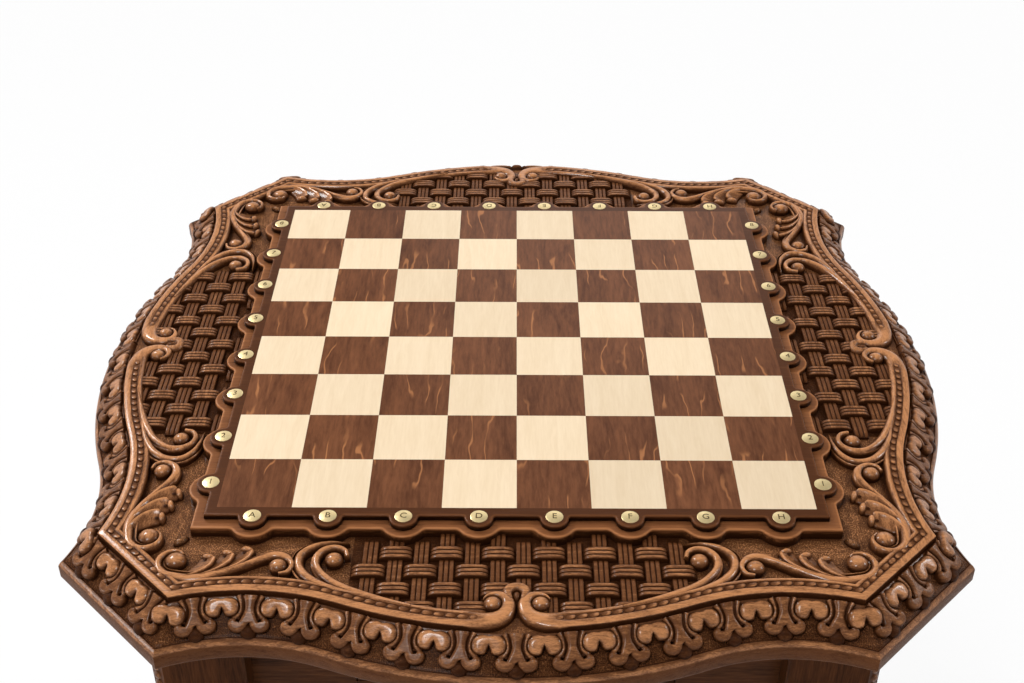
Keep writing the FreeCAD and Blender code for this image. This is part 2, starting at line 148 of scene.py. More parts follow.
def addDome(shape, centre, radii, base, turn=0.0, rows=5, columns=14, rub=1.0, foot=0.0):
    # a rounded knob or bud on base, after an upright foot: radii along, across and upwards
    levels = [(0.9, -foot, 0.1)] if foot else []  # spread, rise and lift of each row
    for climb in np.arange(rows + 1) / (rows + 0.35) * math.pi / 2:
        levels.append((math.cos(climb), radii[2] * math.sin(climb), 0.15 + 0.85 * math.sin(climb)))
    rings = []
    lifts = []
    for spread, rise, lift in levels:
        ring = []
        for step in range(columns):
            angle = 2 * math.pi * step / columns
            x, y = radii[0] * spread * math.cos(angle), radii[1] * spread * math.sin(angle)
            ring.append((centre[0] + x * math.cos(turn) - y * math.sin(turn),
                         centre[1] + x * math.sin(turn) + y * math.cos(turn), base + foot + rise))
        rings.append(ring)
        lifts.append([lift * rub] * columns)
    addTube(shape, rings, np.array(lifts))


# From the outline of a swelling form in to its spine: share of the way, height and lift
swelling = [(1.0, -0.1, 0.0), (1.0, 0.12, 0.1), (0.985, 0.34, 0.3), (0.93, 0.56, 0.54), (0.83, 0.74, 0.74),
            (0.68, 0.88, 0.9), (0.48, 0.97, 0.98), (0.25, 1.0, 1.0), (0.05, 1.0, 1.0)]


def addPillow(shape, half, spines, height, base=0.0, rub=1.0):
    # a bulging form on half an outline and its mirror, swelling towards the nearest place on its spines
    foot = np.vstack([half, half[-2:0:-1] * [-1, 1]])
    spine = np.vstack([smoothLine(line, step=0.5) for line in spines])
    nearest = np.linalg.norm(foot[:, None] - spine[None], axis=2).argmin(axis=1)
    rings = []
    lifts = []
    for share, level, lift in swelling:
        ring = spine[nearest] + (foot - spine[nearest]) * share
        rings.append(np.column_stack([ring, np.full(len(ring), base + height * level)]))
        lifts.append(np.full(len(ring), lift * rub))
    addTube(shape, rings, np.array(lifts))


def turnedRings(cut, columns):
    # one ring for each (radius, level) of the cut
    turns = np.linspace(0, 2 * math.pi, columns, False)
    return [[(radius * math.cos(turn), radius * math.sin(turn), level) for turn in turns]
            for radius, level in cut]


def turnedShape(cut, columns, lift):
    shape = newShape()
    addTube(shape, turnedRings(cut, columns), lift)
    return shape


# a low cap painted darker than any hollow: painted shade where a drilled eye would be
paintedEyeShade = {"rise": 0.25, "columns": 10, "rub": -0.6}


def addPaintedEyeShade(shape, place, radius, level):
    # a drilled eye, given as a low cap painted dark: painted shade in place of the hole
    addDome(shape, place, (radius, radius, paintedEyeShade["rise"]), level, rows=1, columns=paintedEyeShade["columns"],
            rub=paintedEyeShade["rub"])


smoothing = {"steps": 24, "fewest": 6}  # between two given points, and points of the even line


def smoothLine(points, step):
    # an even line through the given points, rounded between them
    points = np.array(points, float)
    padded = np.vstack([2 * points[0] - points[1], points, 2 * points[-1] - points[-2]])
    line = []
    for a, b, c, d in zip(padded, padded[1:], padded[2:], padded[3:]):
        for t in np.linspace(0, 1, smoothing["steps"], endpoint=False):
            line.append(0.5 * (2 * b + (c - a) * t + (2 * a - 5 * b + 4 * c - d) * t ** 2
                               + (3 * b - a - 3 * c + d) * t ** 3))
    line.append(points[-1])
    line = np.array(line)
    lengths = np.concatenate([[0], np.cumsum(np.linalg.norm(np.diff(line, axis=0), axis=1))])
    count = max(int(lengths[-1] / step), smoothing["fewest"])
    places = np.linspace(0, lengths[-1], count)
    return np.column_stack([np.interp(places, lengths, line[:, 0]), np.interp(places, lengths, line[:, 1])])


# Cuts across a carved band: place across, height and lift
channelled = [(-1, -0.2, 0), (-1, 0.55, 0.3), (-0.9, 0.8, 0.7), (-0.74, 0.95, 0.9), (-0.44, 0.98, 0.6),
              (-0.36, 0.9, 0.4), (0.18, 0.9, 0.4), (0.26, 0.98, 0.6), (0.44, 1, 0.78), (0.8, 0.98, 0.95),
              (0.94, 0.92, 0.95), (0.985, 0.77, 0.2), (1, -0.2, 0)]
ribbon = [(-1, -0.2, 0), (-1, 0.35, 0.1), (-0.93, 0.66, 0.8), (-0.78, 0.72, 0.9), (-0.66, 0.5, 0.1),
          (-0.54, 0.5, 0.05), (-0.42, 0.76, 0.65), (-0.16, 0.96, 0.98), (0.2, 1, 1), (0.52, 0.9, 0.85),
          (0.8, 0.62, 0.42), (1, 0.25, 0.1), (1, -0.2, 0)]
domed = [(-1, -0.2, 0), (-1, 0.35, 0.2), (-0.93, 0.6, 0.5), (-0.78, 0.8, 0.8), (-0.58, 0.92, 0.95),
         (-0.36, 0.98, 1), (-0.12, 1, 1), (0.12, 1, 1), (0.36, 0.98, 1), (0.58, 0.92, 0.95),
         (0.8, 0.77, 0.75), (1, 0.35, 0.2), (1, -0.2, 0)]
shell = [(-1, -0.2, 0), (-1, 0.2, 0.3), (-0.85, 0.36, 0.62), (-0.6, 0.42, 0.68), (-0.3, 0.48, 0.7),
         (0.0, 0.58, 0.72), (0.3, 0.71, 0.76), (0.56, 0.86, 0.84), (0.7, 0.97, 1.05), (0.86, 1, 1.1),
         (0.96, 0.9, 1), (1, 0.5, 0.3), (1, -0.2, 0)]
rounded = [(-1, -0.2, 0), (-1, 0.3, 0.15), (-0.86, 0.66, 0.5), (-0.56, 0.9, 0.8), (-0.2, 1, 1), (0.2, 1, 1),
           (0.56, 0.9, 0.8), (0.86, 0.66, 0.5), (1, 0.3, 0.15), (1, -0.2, 0)]


def addBand(shape, points, widths, height, cut, base=0.0, step=1.0, tips=(0.0, 0.0), firstCut=None,
            change=(0.0, 1.0), rub=1.0):
    # a carved band along a line; widths are spread evenly over its length, tips round its ends
    line = smoothLine(points, step)
    share = np.linspace(0, 1, len(line))
    width = np.interp(share, np.linspace(0, 1, len(widths)), widths) / 2
    rise = np.ones(len(line))
    for tip, place in ((tips[0], share), (tips[1], 1 - share)):
        if tip:
            ease = np.sqrt(np.clip(1 - (1 - np.clip(place / tip, 0, 1)) ** 2, 0.02, 1))
            width = width * ease
            rise = rise * (0.45 + 0.55 * ease)
    along = np.gradient(line, axis=0)
    along /= np.linalg.norm(along, axis=1)[:, None]
    across = np.column_stack([along[:, 1], -along[:, 0]])
    changed = np.clip((share - change[0]) / (change[1] - change[0]), 0, 1)[:, None, None]
    profile = np.array(firstCut or cut) * (1 - changed) + np.array(cut) * changed
    rings = np.zeros((len(line), len(cut), 3))
    aside = profile[:, :, 0] * width[:, None]
    rings[:, :, :2] = line[:, None, :] + across[:, None, :] * aside[:, :, None]
    rings[:, :, 2] = base + height * profile[:, :, 1] * rise[:, None]
    addTube(shape, rings, profile[:, :, 2] * rise[:, None] * rub)


def mirrored(shape):
    copy = {key: list(value) for key, value in shape.items()}
    copy["points"] = [(-x, y, z) for x, y, z in shape["points"]]
    return copy


def joined(shapes):
    whole = newShape()
    for shape in shapes:
        start = addPoints(whole, shape["points"], shape["lift"], shape["punch"])
        whole["faces"].extend([tuple(start + corner for corner in face) for face in shape["faces"]])
    return whole


def onSide(shape, side):
    copy = dict(shape)
    copy["points"] = toSide(shape["points"], side)
    return copy


def turning(degrees, axis="Z"):
    return Matrix.Rotation(math.radians(degrees), 4, axis)


def rawMesh(name, points, edges=(), faces=()):
    # from millimetres into metres
    mesh = bpy.data.meshes.new(name)
    mesh.from_pydata([tuple(np.asarray(point) * mm) for point in points], list(edges), list(faces))
    return mesh


def makeMesh(name, shape, sharpAngle=40.0):
    mesh = rawMesh(name, shape["points"], faces=shape["faces"])
    for key in ("lift", "punch"):
        layer = mesh.attributes.new(key, "FLOAT", "POINT")
        layer.data.foreach_set("value", np.array(shape[key], np.float32))
    solid = bmesh.new()
    solid.from_mesh(mesh)
    bmesh.ops.recalc_face_normals(solid, faces=solid.faces)
    solid.to_mesh(mesh)
    solid.free()
    mesh.shade_smooth()
    mesh.set_sharp_from_angle(angle=math.radians(sharpAngle))
    return mesh


def makePiece(name, mesh, finish=None):
    piece = bpy.data.objects.new(name, mesh)
    bpy.context.scene.collection.objects.link(piece)
    if finish:
        mesh.materials.clear()
        mesh.materials.append(finish)
    return piece


def settle(piece, body="table", stands=()):
    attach(piece, body)
    if stands:
        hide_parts(*stands)


# Shader node groups
def fill(tree, socket, value):
    # links another node's output, or sets a plain value
    if isinstance(value, bpy.types.NodeSocket):
        tree.links.new(value, socket)
    else:
        socket.default_value = value


def newGroup(name, inputs, outputs):
    tree = bpy.data.node_groups.new(name, "ShaderNodeTree")
    for label, kind, value in inputs:
        socket = tree.interface.new_socket(label, in_out="INPUT", socket_type="NodeSocket" + kind)
        socket.default_value = value
    for label, kind in outputs:
        tree.interface.new_socket(label, in_out="OUTPUT", socket_type="NodeSocket" + kind)
    return tree, tree.nodes.new("NodeGroupInput"), tree.nodes.new("NodeGroupOutput")


def addNode(tree, kind, settings=None, **inputs):
    # inputs go by their labels, with _ for a space, or by their places as i0, i1 and so on
    node = tree.nodes.new(kind)
    for key, value in (settings or {}).items():
        setattr(node, key, value)
    for key, value in inputs.items():
        byPlace = key[0] == "i" and key[1:].isdigit()
        fill(tree, node.inputs[int(key[1:]) if byPlace else key.replace("_", " ")], value)
    return node


def mathNode(tree, operation, a, b=0.0, c=0.0):
    return addNode(tree, "ShaderNodeMath", {"operation": operation}, i0=a, i1=b, i2=c).outputs[0]


def vectorNode(tree, operation, **inputs):
    return addNode(tree, "ShaderNodeVectorMath", {"operation": operation}, **inputs).outputs[0]


def ramp(tree, value, kind="SMOOTHSTEP", **limits):
    return addNode(tree, "ShaderNodeMapRange", {"interpolation_type": kind}, Value=value,
                   **limits).outputs[0]


def noise(tree, place, **settings):
    return addNode(tree, "ShaderNodeTexNoise", Vector=place, **settings).outputs[0]


def mixColour(tree, share, a, b):
    return addNode(tree, "ShaderNodeMix", {"data_type": "RGBA"}, i0=share, i6=a, i7=b).outputs[2]


# pores against the long fibres: how much finer, and their share
fibre = {"poreScale": 6.5, "poreShare": 0.45}


def grainGroup():
    # long fibres and short pores of planed wood, stretched by the caller
    tree, start, end = newGroup("wood grain", [("Place", "Vector", (0, 0, 0)),
                                               ("Stretch", "Vector", (1, 1, 1)), ("Scale", "Float", 60.0),
                                               ("Figure", "Float", 0.5)],
                                [("Shade", "Float"), ("Height", "Float")])
    given = start.outputs
    place = vectorNode(tree, "MULTIPLY", i0=given["Place"], i1=given["Stretch"])
    wide = noise(tree, place, Scale=given["Scale"], Detail=4.0, Roughness=0.6, Distortion=given["Figure"])
    poreScale = mathNode(tree, "MULTIPLY", given["Scale"], fibre["poreScale"])
    pores = noise(tree, place, Scale=poreScale, Detail=3.0, Roughness=0.65)
    fibres = mathNode(tree, "MULTIPLY", wide, 1 - fibre["poreShare"])
    both = mathNode(tree, "MULTIPLY_ADD", pores, fibre["poreShare"], fibres)
    tree.links.new(ramp(tree, both, "LINEAR", From_Min=0.32, From_Max=0.68), end.inputs["Shade"])
    tree.links.new(pores, end.inputs["Height"])
    return tree


stainAndShade = {
    "crevice": 0.006,  # metres over which a corner counts as shut in, for the painted crevice shade
    "uneven": (0.56, -0.32),  # the grain's shade times the first, plus the second, moves the lift
}


def glazeAndShadeGroup():
    # stain that stays dark in the hollows and is rubbed back on the crests, with painted shade (ambient
    # occlusion) darkening it further in crevices and corners
    black = (0, 0, 0, 1)
    tree, start, end = newGroup("rubbed finish with painted crevice shade", [("Lift", "Float", 0.5), ("Shade", "Float", 0.5),
                                                 ("Hollow", "Color", black), ("Body", "Color", black),
                                                 ("Crest", "Color", black), ("Crevice", "Float", 0.7)],
                                [("Color", "Color")])
    given = start.outputs
    # painted shade: ambient occlusion darkens the colour in crevices and corners, where shade falls
    corners = addNode(tree, "ShaderNodeAmbientOcclusion", {"samples": 6}, Distance=stainAndShade["crevice"])
    paintedShade = mathNode(tree, "SUBTRACT", corners.outputs["AO"], 1.0)
    uneven = mathNode(tree, "MULTIPLY_ADD", given["Shade"], *stainAndShade["uneven"])
    # the worn lift, darkened by the painted crevice shade
    worn = mathNode(tree, "MULTIPLY_ADD", paintedShade, given["Crevice"],
                    mathNode(tree, "ADD", given["Lift"], uneven))
    lower = ramp(tree, worn, From_Min=0.0, From_Max=0.45)
    upper = ramp(tree, worn, From_Min=0.5, From_Max=1.1)
    stained = mixColour(tree, lower, given["Hollow"], given["Body"])
    tree.links.new(mixColour(tree, upper, stained, given["Crest"]), end.inputs["Color"])
    return tree


punchMiddle = 0.3  # the part of a punch mark's depth that keeps its tone


def punchGroup():
    # close punch marks on the sunk ground of the carving; their Shade darkens each cup and lightens the rims
    # between, painted shade and highlight of the punched relief
    tree, start, end = newGroup("punched ground", [("Place", "Vector", (0, 0, 0)),
                                                   ("Scale", "Float", 700.0), ("Amount", "Float", 1.0)],
                                [("Height", "Float"), ("Shade", "Float")])
    given = start.outputs
    dots = addNode(tree, "ShaderNodeTexVoronoi", {"feature": "F1", "voronoi_dimensions": "2D"},
                   Vector=given["Place"], Scale=given["Scale"], Randomness=0.7).outputs["Distance"]
    cupped = ramp(tree, dots, From_Min=0.15, From_Max=0.75)
    cupShadeAndHighlight = mathNode(tree, "SUBTRACT", cupped, punchMiddle)
    for label, value in (("Height", cupped), ("Shade", cupShadeAndHighlight)):
        tree.links.new(mathNode(tree, "MULTIPLY", value, given["Amount"]), end.inputs[label])
    return tree


veins = {
    "stretch": (1, 0.3, 1),  # bends are longer along the grain
    "bend": 2.8,  # how far the noise pushes a vein, in spacings
}


def flameGroup():
    # thin pale veins that wander along the grain of some slips of stained birch
    tree, start, end = newGroup("birch flames", [("Place", "Vector", (0, 0, 0)), ("Scale", "Float", 70.0)],
                                [("Streak", "Float")])
    given = start.outputs
    place = vectorNode(tree, "MULTIPLY", i0=given["Place"], i1=veins["stretch"])
    bend = noise(tree, place, Scale=46.0, Detail=3.0, Roughness=0.45)
    across = addNode(tree, "ShaderNodeSeparateXYZ", Vector=given["Place"]).outputs["X"]
    straight = mathNode(tree, "MULTIPLY", across, given["Scale"])
    phase = mathNode(tree, "ADD", straight, mathNode(tree, "MULTIPLY", bend, veins["bend"]))
    away = mathNode(tree, "ABSOLUTE", mathNode(tree, "SUBTRACT", mathNode(tree, "FRACT", phase), 0.5))
    line = ramp(tree, away, From_Min=0.01, From_Max=0.075, To_Min=0.9, To_Max=0.0)
    patch = noise(tree, given["Place"], Scale=26.0, Detail=1.0)
    chosen = ramp(tree, patch, From_Min=0.48, From_Max=0.62)
    tree.links.new(mathNode(tree, "MULTIPLY", line, chosen), end.inputs["Streak"])
    return tree


groups = {"grain": grainGroup(), "glazeAndShade": glazeAndShadeGroup(), "punch": punchGroup(), "flame": flameGroup()}


# Finishes
def newFinish(name, gloss=None):
    finish = bpy.data.materials.new(name)
    finish.use_nodes = True
    tree = finish.node_tree
    shader = tree.nodes["Principled BSDF"]
    if gloss is not None:
        shader.inputs["Specular IOR Level"].default_value = gloss
    place = addNode(tree, "ShaderNodeTexCoord").outputs["Object"]
    return finish, tree, shader, place


def useGroup(tree, name, **inputs):
    node = tree.nodes.new("ShaderNodeGroup")
    node.node_tree = groups[name]
    for key, value in inputs.items():
        fill(tree, node.inputs[key], value)
    return node.outputs


def readLayer(tree, name):
    return addNode(tree, "ShaderNodeAttribute", {"attribute_name": name}).outputs["Fac"]


def setRoughness(tree, shader, value, limits):
    # limits where the value is 0 and where it is 1
    rough = ramp(tree, value, "LINEAR", To_Min=limits[0], To_Max=limits[1])
    tree.links.new(rough, shader.inputs["Roughness"])


def setBump(tree, shader, height, strength, distance):
    bump = addNode(tree, "ShaderNodeBump", Height=height, Strength=strength, Distance=distance)
    tree.links.new(bump.outputs[0], shader.inputs["Normal"])


def setGlazeAndShade(tree, shader, look, lift, shade):
    glazeAndShade = useGroup(tree, "glazeAndShade", Lift=lift, Shade=shade, Hollow=look["hollow"], Body=look["body"],
                     Crest=look["crest"])
    tree.links.new(glazeAndShade["Color"], shader.inputs["Base Color"])


carvedLook = {
    "hollow": (0.040, 0.0120, 0.0036, 1),
    "body": (0.126, 0.0455, 0.0160, 1),
    "crest": (0.570, 0.246, 0.096, 1),
    "roughness": (0.44, 0.28),
    "gloss": 0.04,
    "polish": (0.0, 0.65),  # wax, in the hollows and on the crests
    "groundPolish": 0.02,
    "polishRoughness": 0.18,
    "grainScale": 330.0,
    "grainHeight": 0.35,  # against the punch marks
    "punchScale": 1000.0,
    "punchShade": 0.42,
}


def carvedFinish(name, stretch):
    look = carvedLook
    finish, tree, shader, place = newFinish(name, look["gloss"])
    lift, ground = readLayer(tree, "lift"), readLayer(tree, "punch")
    grain = useGroup(tree, "grain", Place=place, Stretch=stretch, Scale=look["grainScale"], Figure=0.8)
    punch = useGroup(tree, "punch", Place=place, Scale=look["punchScale"], Amount=ground)
    # the punch marks' painted shade in the cups and lighter rims is added to the lift
    marked = mathNode(tree, "MULTIPLY_ADD", punch["Shade"], look["punchShade"], lift)
    setGlazeAndShade(tree, shader, look, marked, grain["Shade"])
    setRoughness(tree, shader, grain["Shade"], look["roughness"])
    height = mathNode(tree, "MULTIPLY_ADD", grain["Height"], look["grainHeight"], punch["Height"])
    setBump(tree, shader, height, strength=0.7, distance=0.0010)
    waxed = ramp(tree, lift, "LINEAR", From_Min=0.45, From_Max=0.95, To_Min=look["polish"][0],
                 To_Max=look["polish"][1])
    wax = mathNode(tree, "MULTIPLY_ADD", ground, look["groundPolish"], waxed)
    tree.links.new(wax, shader.inputs["Coat Weight"])
    shader.inputs["Coat Roughness"].default_value = look["polishRoughness"]
    return finish


plinthLook = {
    "hollow": (0.030, 0.0092, 0.0028, 1),
    "body": (0.215, 0.079, 0.029, 1),
    "crest": (0.40, 0.160, 0.058, 1),
    "scale": 170.0,
    "figure": 1.0,
}
boardLook = {
    "hollow": (0.012, 0.0035, 0.0011, 1),
    "body": (0.075, 0.0245, 0.0082, 1),
    "crest": (0.135, 0.047, 0.016, 1),
    "scale": 110.0,
    "figure": 1.6,
}
plateSheen = {"roughness": (0.36, 0.24), "gloss": 0.11}


def plateFinish(name, look, stretch):
    # a polished plate, dark on its upright edge from glaze and painted shade, and rubbed along its arris
    finish, tree, shader, place = newFinish(name, plateSheen["gloss"])
    grain = useGroup(tree, "grain", Place=place, Stretch=stretch, Scale=look["scale"],
                     Figure=look["figure"])
    setGlazeAndShade(tree, shader, look, readLayer(tree, "lift"), grain["Shade"])
    setRoughness(tree, shader, grain["Height"], plateSheen["roughness"])
    setBump(tree, shader, grain["Height"], strength=0.25, distance=0.0004)
    return finish


baseLook = {
    "dark": (0.026, 0.0082, 0.0025, 1),
    "light": (0.145, 0.051, 0.0170, 1),
    "scale": 150.0,
    "roughness": (0.42, 0.29),
    "gloss": 0.04,
}
# the legs' walnut is a darker copy of the base walnut: painted shade, for legs standing in the shadow of the
# top
shadedLegLook = {
    "dark": (0.024, 0.0072, 0.0020, 1),
    "light": (0.125, 0.042, 0.0130, 1),
    "scale": 150.0,
    "roughness": (0.42, 0.29),
    "gloss": 0.03,
}
innerLook = {
    "dark": (0.40, 0.27, 0.15, 1),
    "light": (0.58, 0.42, 0.25, 1),
    "scale": 120.0,
    "roughness": (0.63, 0.50),
    "gloss": 0.0,
}
markLook = {
    "dark": (0.05, 0.03, 0.012, 1),
    "light": (0.10, 0.06, 0.025, 1),
    "scale": 400.0,
    "roughness": (0.68, 0.55),
    "gloss": 0.0,
}


def plainWood(name, look, stretch):
    # a planed and polished board; stretch is small along its grain
    finish, tree, shader, place = newFinish(name, look["gloss"])
    grain = useGroup(tree, "grain", Place=place, Stretch=stretch, Scale=look["scale"], Figure=1.0)
    tone = mixColour(tree, grain["Shade"], look["dark"], look["light"])
    tree.links.new(tone, shader.inputs["Base Color"])
    setRoughness(tree, shader, grain["Height"], look["roughness"])
    setBump(tree, shader, grain["Height"], strength=0.25, distance=0.0004)
    return finish


darkInlay = {
    "dark": (0.080, 0.0265, 0.0108, 1),
    "light": (0.222, 0.083, 0.0355, 1),
    "vein": (0.42, 0.170, 0.066, 1),
    "stretch": (1, 0.16, 1),
    "scale": 60.0,
    "figure": 1.6,
}
lightInlay = {
    "dark": (0.815, 0.630, 0.415, 1),
    "light": (0.905, 0.728, 0.512, 1),
    "vein": (0.880, 0.695, 0.480, 1),
    "stretch": (1, 0.10, 1),
    "scale": 110.0,
    "figure": 0.8,
}
inlay = {"square": 50.0, "roughness": 0.3, "gloss": 0.10, "veins": 70.0}  # veins to the metre


def inlayFinish(name, look):
    # each inlaid square is its own slip of veneer, with its own figure and tone
    finish, tree, shader, place = newFinish(name, inlay["gloss"])
    cell = vectorNode(tree, "SCALE", i0=place, Scale=1 / (inlay["square"] * mm))
    corner = vectorNode(tree, "FLOOR", i0=cell)
    chance = addNode(tree, "ShaderNodeTexWhiteNoise", {"noise_dimensions": "2D"}, Vector=corner).outputs
    shifted = vectorNode(tree, "ADD", i0=place, i1=chance["Color"])
    grain = useGroup(tree, "grain", Place=shifted, Stretch=look["stretch"], Scale=look["scale"],
                     Figure=look["figure"])
    streak = useGroup(tree, "flame", Place=shifted, Scale=inlay["veins"])["Streak"]
    tone = mixColour(tree, streak, mixColour(tree, grain["Shade"], look["dark"], look["light"]),
                     look["vein"])
    slip = ramp(tree, chance["Value"], "LINEAR", To_Min=0.86, To_Max=1.0)
    tree.links.new(vectorNode(tree, "SCALE", i0=tone, Scale=slip), shader.inputs["Base Color"])
    shader.inputs["Roughness"].default_value = inlay["roughness"]
    setBump(tree, shader, grain["Height"], strength=0.12, distance=0.0003)
    return finish


brassLook = {
    "colour": (0.96, 0.79, 0.44, 1),
    "worn": (0.84, 0.63, 0.30, 1),
    "roughness": (0.42, 0.30),
    "metallic": 0.75,
}
steelLook = {
    "colour": (0.55, 0.55, 0.55, 1),
    "worn": (0.40, 0.40, 0.40, 1),
    "roughness": (0.47, 0.35),
    "metallic": 1.0,
}


def metalFinish(name, look):
    finish, tree, shader, place = newFinish(name)
    grain = useGroup(tree, "grain", Place=place, Scale=420.0, Figure=0.2)
    tone = mixColour(tree, grain["Shade"], look["worn"], look["colour"])
    tree.links.new(tone, shader.inputs["Base Color"])
    shader.inputs["Metallic"].default_value = look["metallic"]
    setRoughness(tree, shader, grain["Shade"], look["roughness"])
    setBump(tree, shader, grain["Height"], strength=0.1, distance=0.0002)
    return finish


feltLook = {"dark": (0.03, 0.018, 0.01, 1), "light": (0.08, 0.05, 0.03, 1), "roughness": 0.95}


def feltFinish(name, look):
    finish, tree, shader, place = newFinish(name)
    fuzz = useGroup(tree, "grain", Place=place, Scale=900.0, Figure=1.5)
    tone = mixColour(tree, fuzz["Shade"], look["dark"], look["light"])
    tree.links.new(tone, shader.inputs["Base Color"])
    shader.inputs["Roughness"].default_value = look["roughness"]
    setBump(tree, shader, fuzz["Height"], strength=0.6, distance=0.0008)
    return finish


alongX, alongY, alongZ = (0.07, 1, 1), (1, 0.07, 1), (1, 1, 0.07)
finishes = {
    "carvedX": carvedFinish("carved walnut, grain left to right", (0.2, 1, 1)),
    "carvedY": carvedFinish("carved walnut, grain front to back", (1, 0.2, 1)),
    "carvedZ": carvedFinish("carved walnut, grain upright", (1, 1, 0.3)),
    "plinth": plateFinish("plinth walnut", plinthLook, alongX),
    "boardFrame": plateFinish("dark board walnut", boardLook, alongX),
    "dark": inlayFinish("dark inlay", darkInlay),
    "light": inlayFinish("light inlay", lightInlay),
    "baseX": plainWood("base walnut, grain left to right", baseLook, alongX),
    "baseY": plainWood("base walnut, grain front to back", baseLook, alongY),
    "baseZ": plainWood("base walnut with painted shade, grain upright", shadedLegLook, alongZ),
    "innerX": plainWood("inner poplar, grain left to right", innerLook, alongX),
    "innerY": plainWood("inner poplar, grain front to back", innerLook, alongY),
    "brass": metalFinish("pale brass", brassLook),
    "steel": metalFinish("screw steel", steelLook),
    "felt": feltFinish("brown felt", feltLook),
    "engraved": plainWood("engraved marks", markLook, (1, 1, 1)),
}
print("finishes made:", len(finishes))


def sideFinish(side):
    # the carved boards' grain runs along their own side
    return finishes["carvedX" if side % 2 == 0 else "carvedY"]


# CAD nodes that keep their own shape
cadFinishes = {
    "mitre_tongues": "innerX", "core_panel": "innerX", "dark_squares": "dark", "light_squares": "light",
    "apron_front": "baseX", "apron_back": "baseX", "apron_left": "baseY", "apron_right": "baseY",
    "corner_blocks": "innerX", "top_screws": "steel", "foot_glides": "felt",
    "drawer_runner_right": "innerY", "drawer_runner_left": "innerY", "drawer_kicker_right": "innerY",
    "drawer_kicker_left": "innerY", "drawer_divider": "innerX",
}
for end in ("front", "back"):
    cadFinishes[end + "_drawer_front"] = "baseX"
    cadFinishes[end + "_drawer_right_side"] = "innerY"
    cadFinishes[end + "_drawer_left_side"] = "innerY"
    cadFinishes[end + "_drawer_back"] = "innerX"
    cadFinishes[end + "_drawer_bottom"] = "innerX"
for node, finish in cadFinishes.items():
    nodes[node].data.materials.clear()
    nodes[node].data.materials.append(finishes[finish])


# Border boards: edge, sloping rim, corded moulding and sunk field, one cut swept along each side
border = {
    "rimWidth": 23.5,
    "rimRise": 17.0,
    "groundDepth": 0.6,  # the rim's punched ground, under the slope
    "groundRows": 7,
    "ledgeInset": 20.6,  # plain strip under the moulding, out of which the leaves grow
    "mouldingInset": 24.5,
    "mouldingWidth": 14.0,
    "mouldingHeight": 6.0,
    "centreGap": 31.0,  # half the break in the moulding where the volutes sit
    "centreLift": 0.68,
    "centrePunch": 0.6,
    "fieldLift": 0.66,
    "channelDepth": 0.6,
    "channelMiddle": 7.6,  # from the moulding's outer wall
}
rimLevel = fieldLevel - border["rimRise"]
crest = fieldLevel + border["mouldingHeight"]
channel = crest - border["channelDepth"]


def slopeLevel(inset):
    return rimLevel + border["rimRise"] * inset / border["rimWidth"]


def borderCut():
    # (inset, level, lift, punch) from the inner foot of the board, round its edge and up to the field
    ground = border["groundDepth"]
    ledge = border["ledgeInset"]
    wall = border["mouldingInset"]
    inner = wall + border["mouldingWidth"]
    # upright walls and narrow grooves get lifts near 0, dark glaze with painted shade: the groove inside the
    # lip, the groove at the ledge's edge and the moulding's outer wall
    cut = [(2.0, underside, 0.3, 0), (0.5, underside + 0.4, 0.6, 0), (0.0, underside + 1.6, 0.42, 0),
           (0.0, rimLevel - 1.8, 0.42, 0), (0.4, rimLevel - 0.5, 0.78, 0),
           (1.4, slopeLevel(1.4) + 0.2, 0.76, 0), (2.9, slopeLevel(2.9) + 0.3, 0.6, 0),
           (3.5, slopeLevel(3.5) - 0.4, 0.1, 0), (4.2, slopeLevel(4.2) - ground, 0.3, 1)]
    for inset in np.linspace(6.0, ledge, border["groundRows"]):
        cut.append((inset, slopeLevel(inset) - ground, 0.4, 1))
    cut += [(ledge + 0.4, slopeLevel(ledge + 0.4) - 0.4, 0.05, 0),
            (ledge + 1.0, slopeLevel(ledge + 1.0) + 1.2, 0.7, 0),
            (wall - 1.2, slopeLevel(wall - 1.2) + 1.3, 0.7, 0),
            (wall - 0.5, slopeLevel(wall - 0.5) + 1.0, 0.3, 0), (wall - 0.2, fieldLevel + 0.6, 0.0, 0),
            (wall, fieldLevel + 1.2, 0.02, 0), (wall + 0.1, crest - 1.4, 0.2, 0),
            (wall + 0.45, crest - 0.5, 0.95, 0), (wall + 1.4, crest - 0.1, 0.95, 0),
            (wall + 4.6, crest, 0.88, 0), (wall + 5.2, crest - 0.1, 0.6, 0), (wall + 5.6, channel, 0.4, 0),
            (wall + 9.6, channel, 0.4, 0), (wall + 10.0, crest - 0.1, 0.6, 0),
            (wall + 10.8, crest - 0.05, 0.85, 0), (wall + 12.2, crest - 0.3, 1.0, 0),
            (inner - 0.7, crest - 1.2, 0.7, 0), (inner, crest - 2.6, 0.35, 0),
            (inner + 0.1, fieldLevel + 0.4, 0.05, 0), (inner + 0.9, fieldLevel, 0.2, 1),
            (inner + 3.5, fieldLevel, border["fieldLift"], 1)]
    return cut


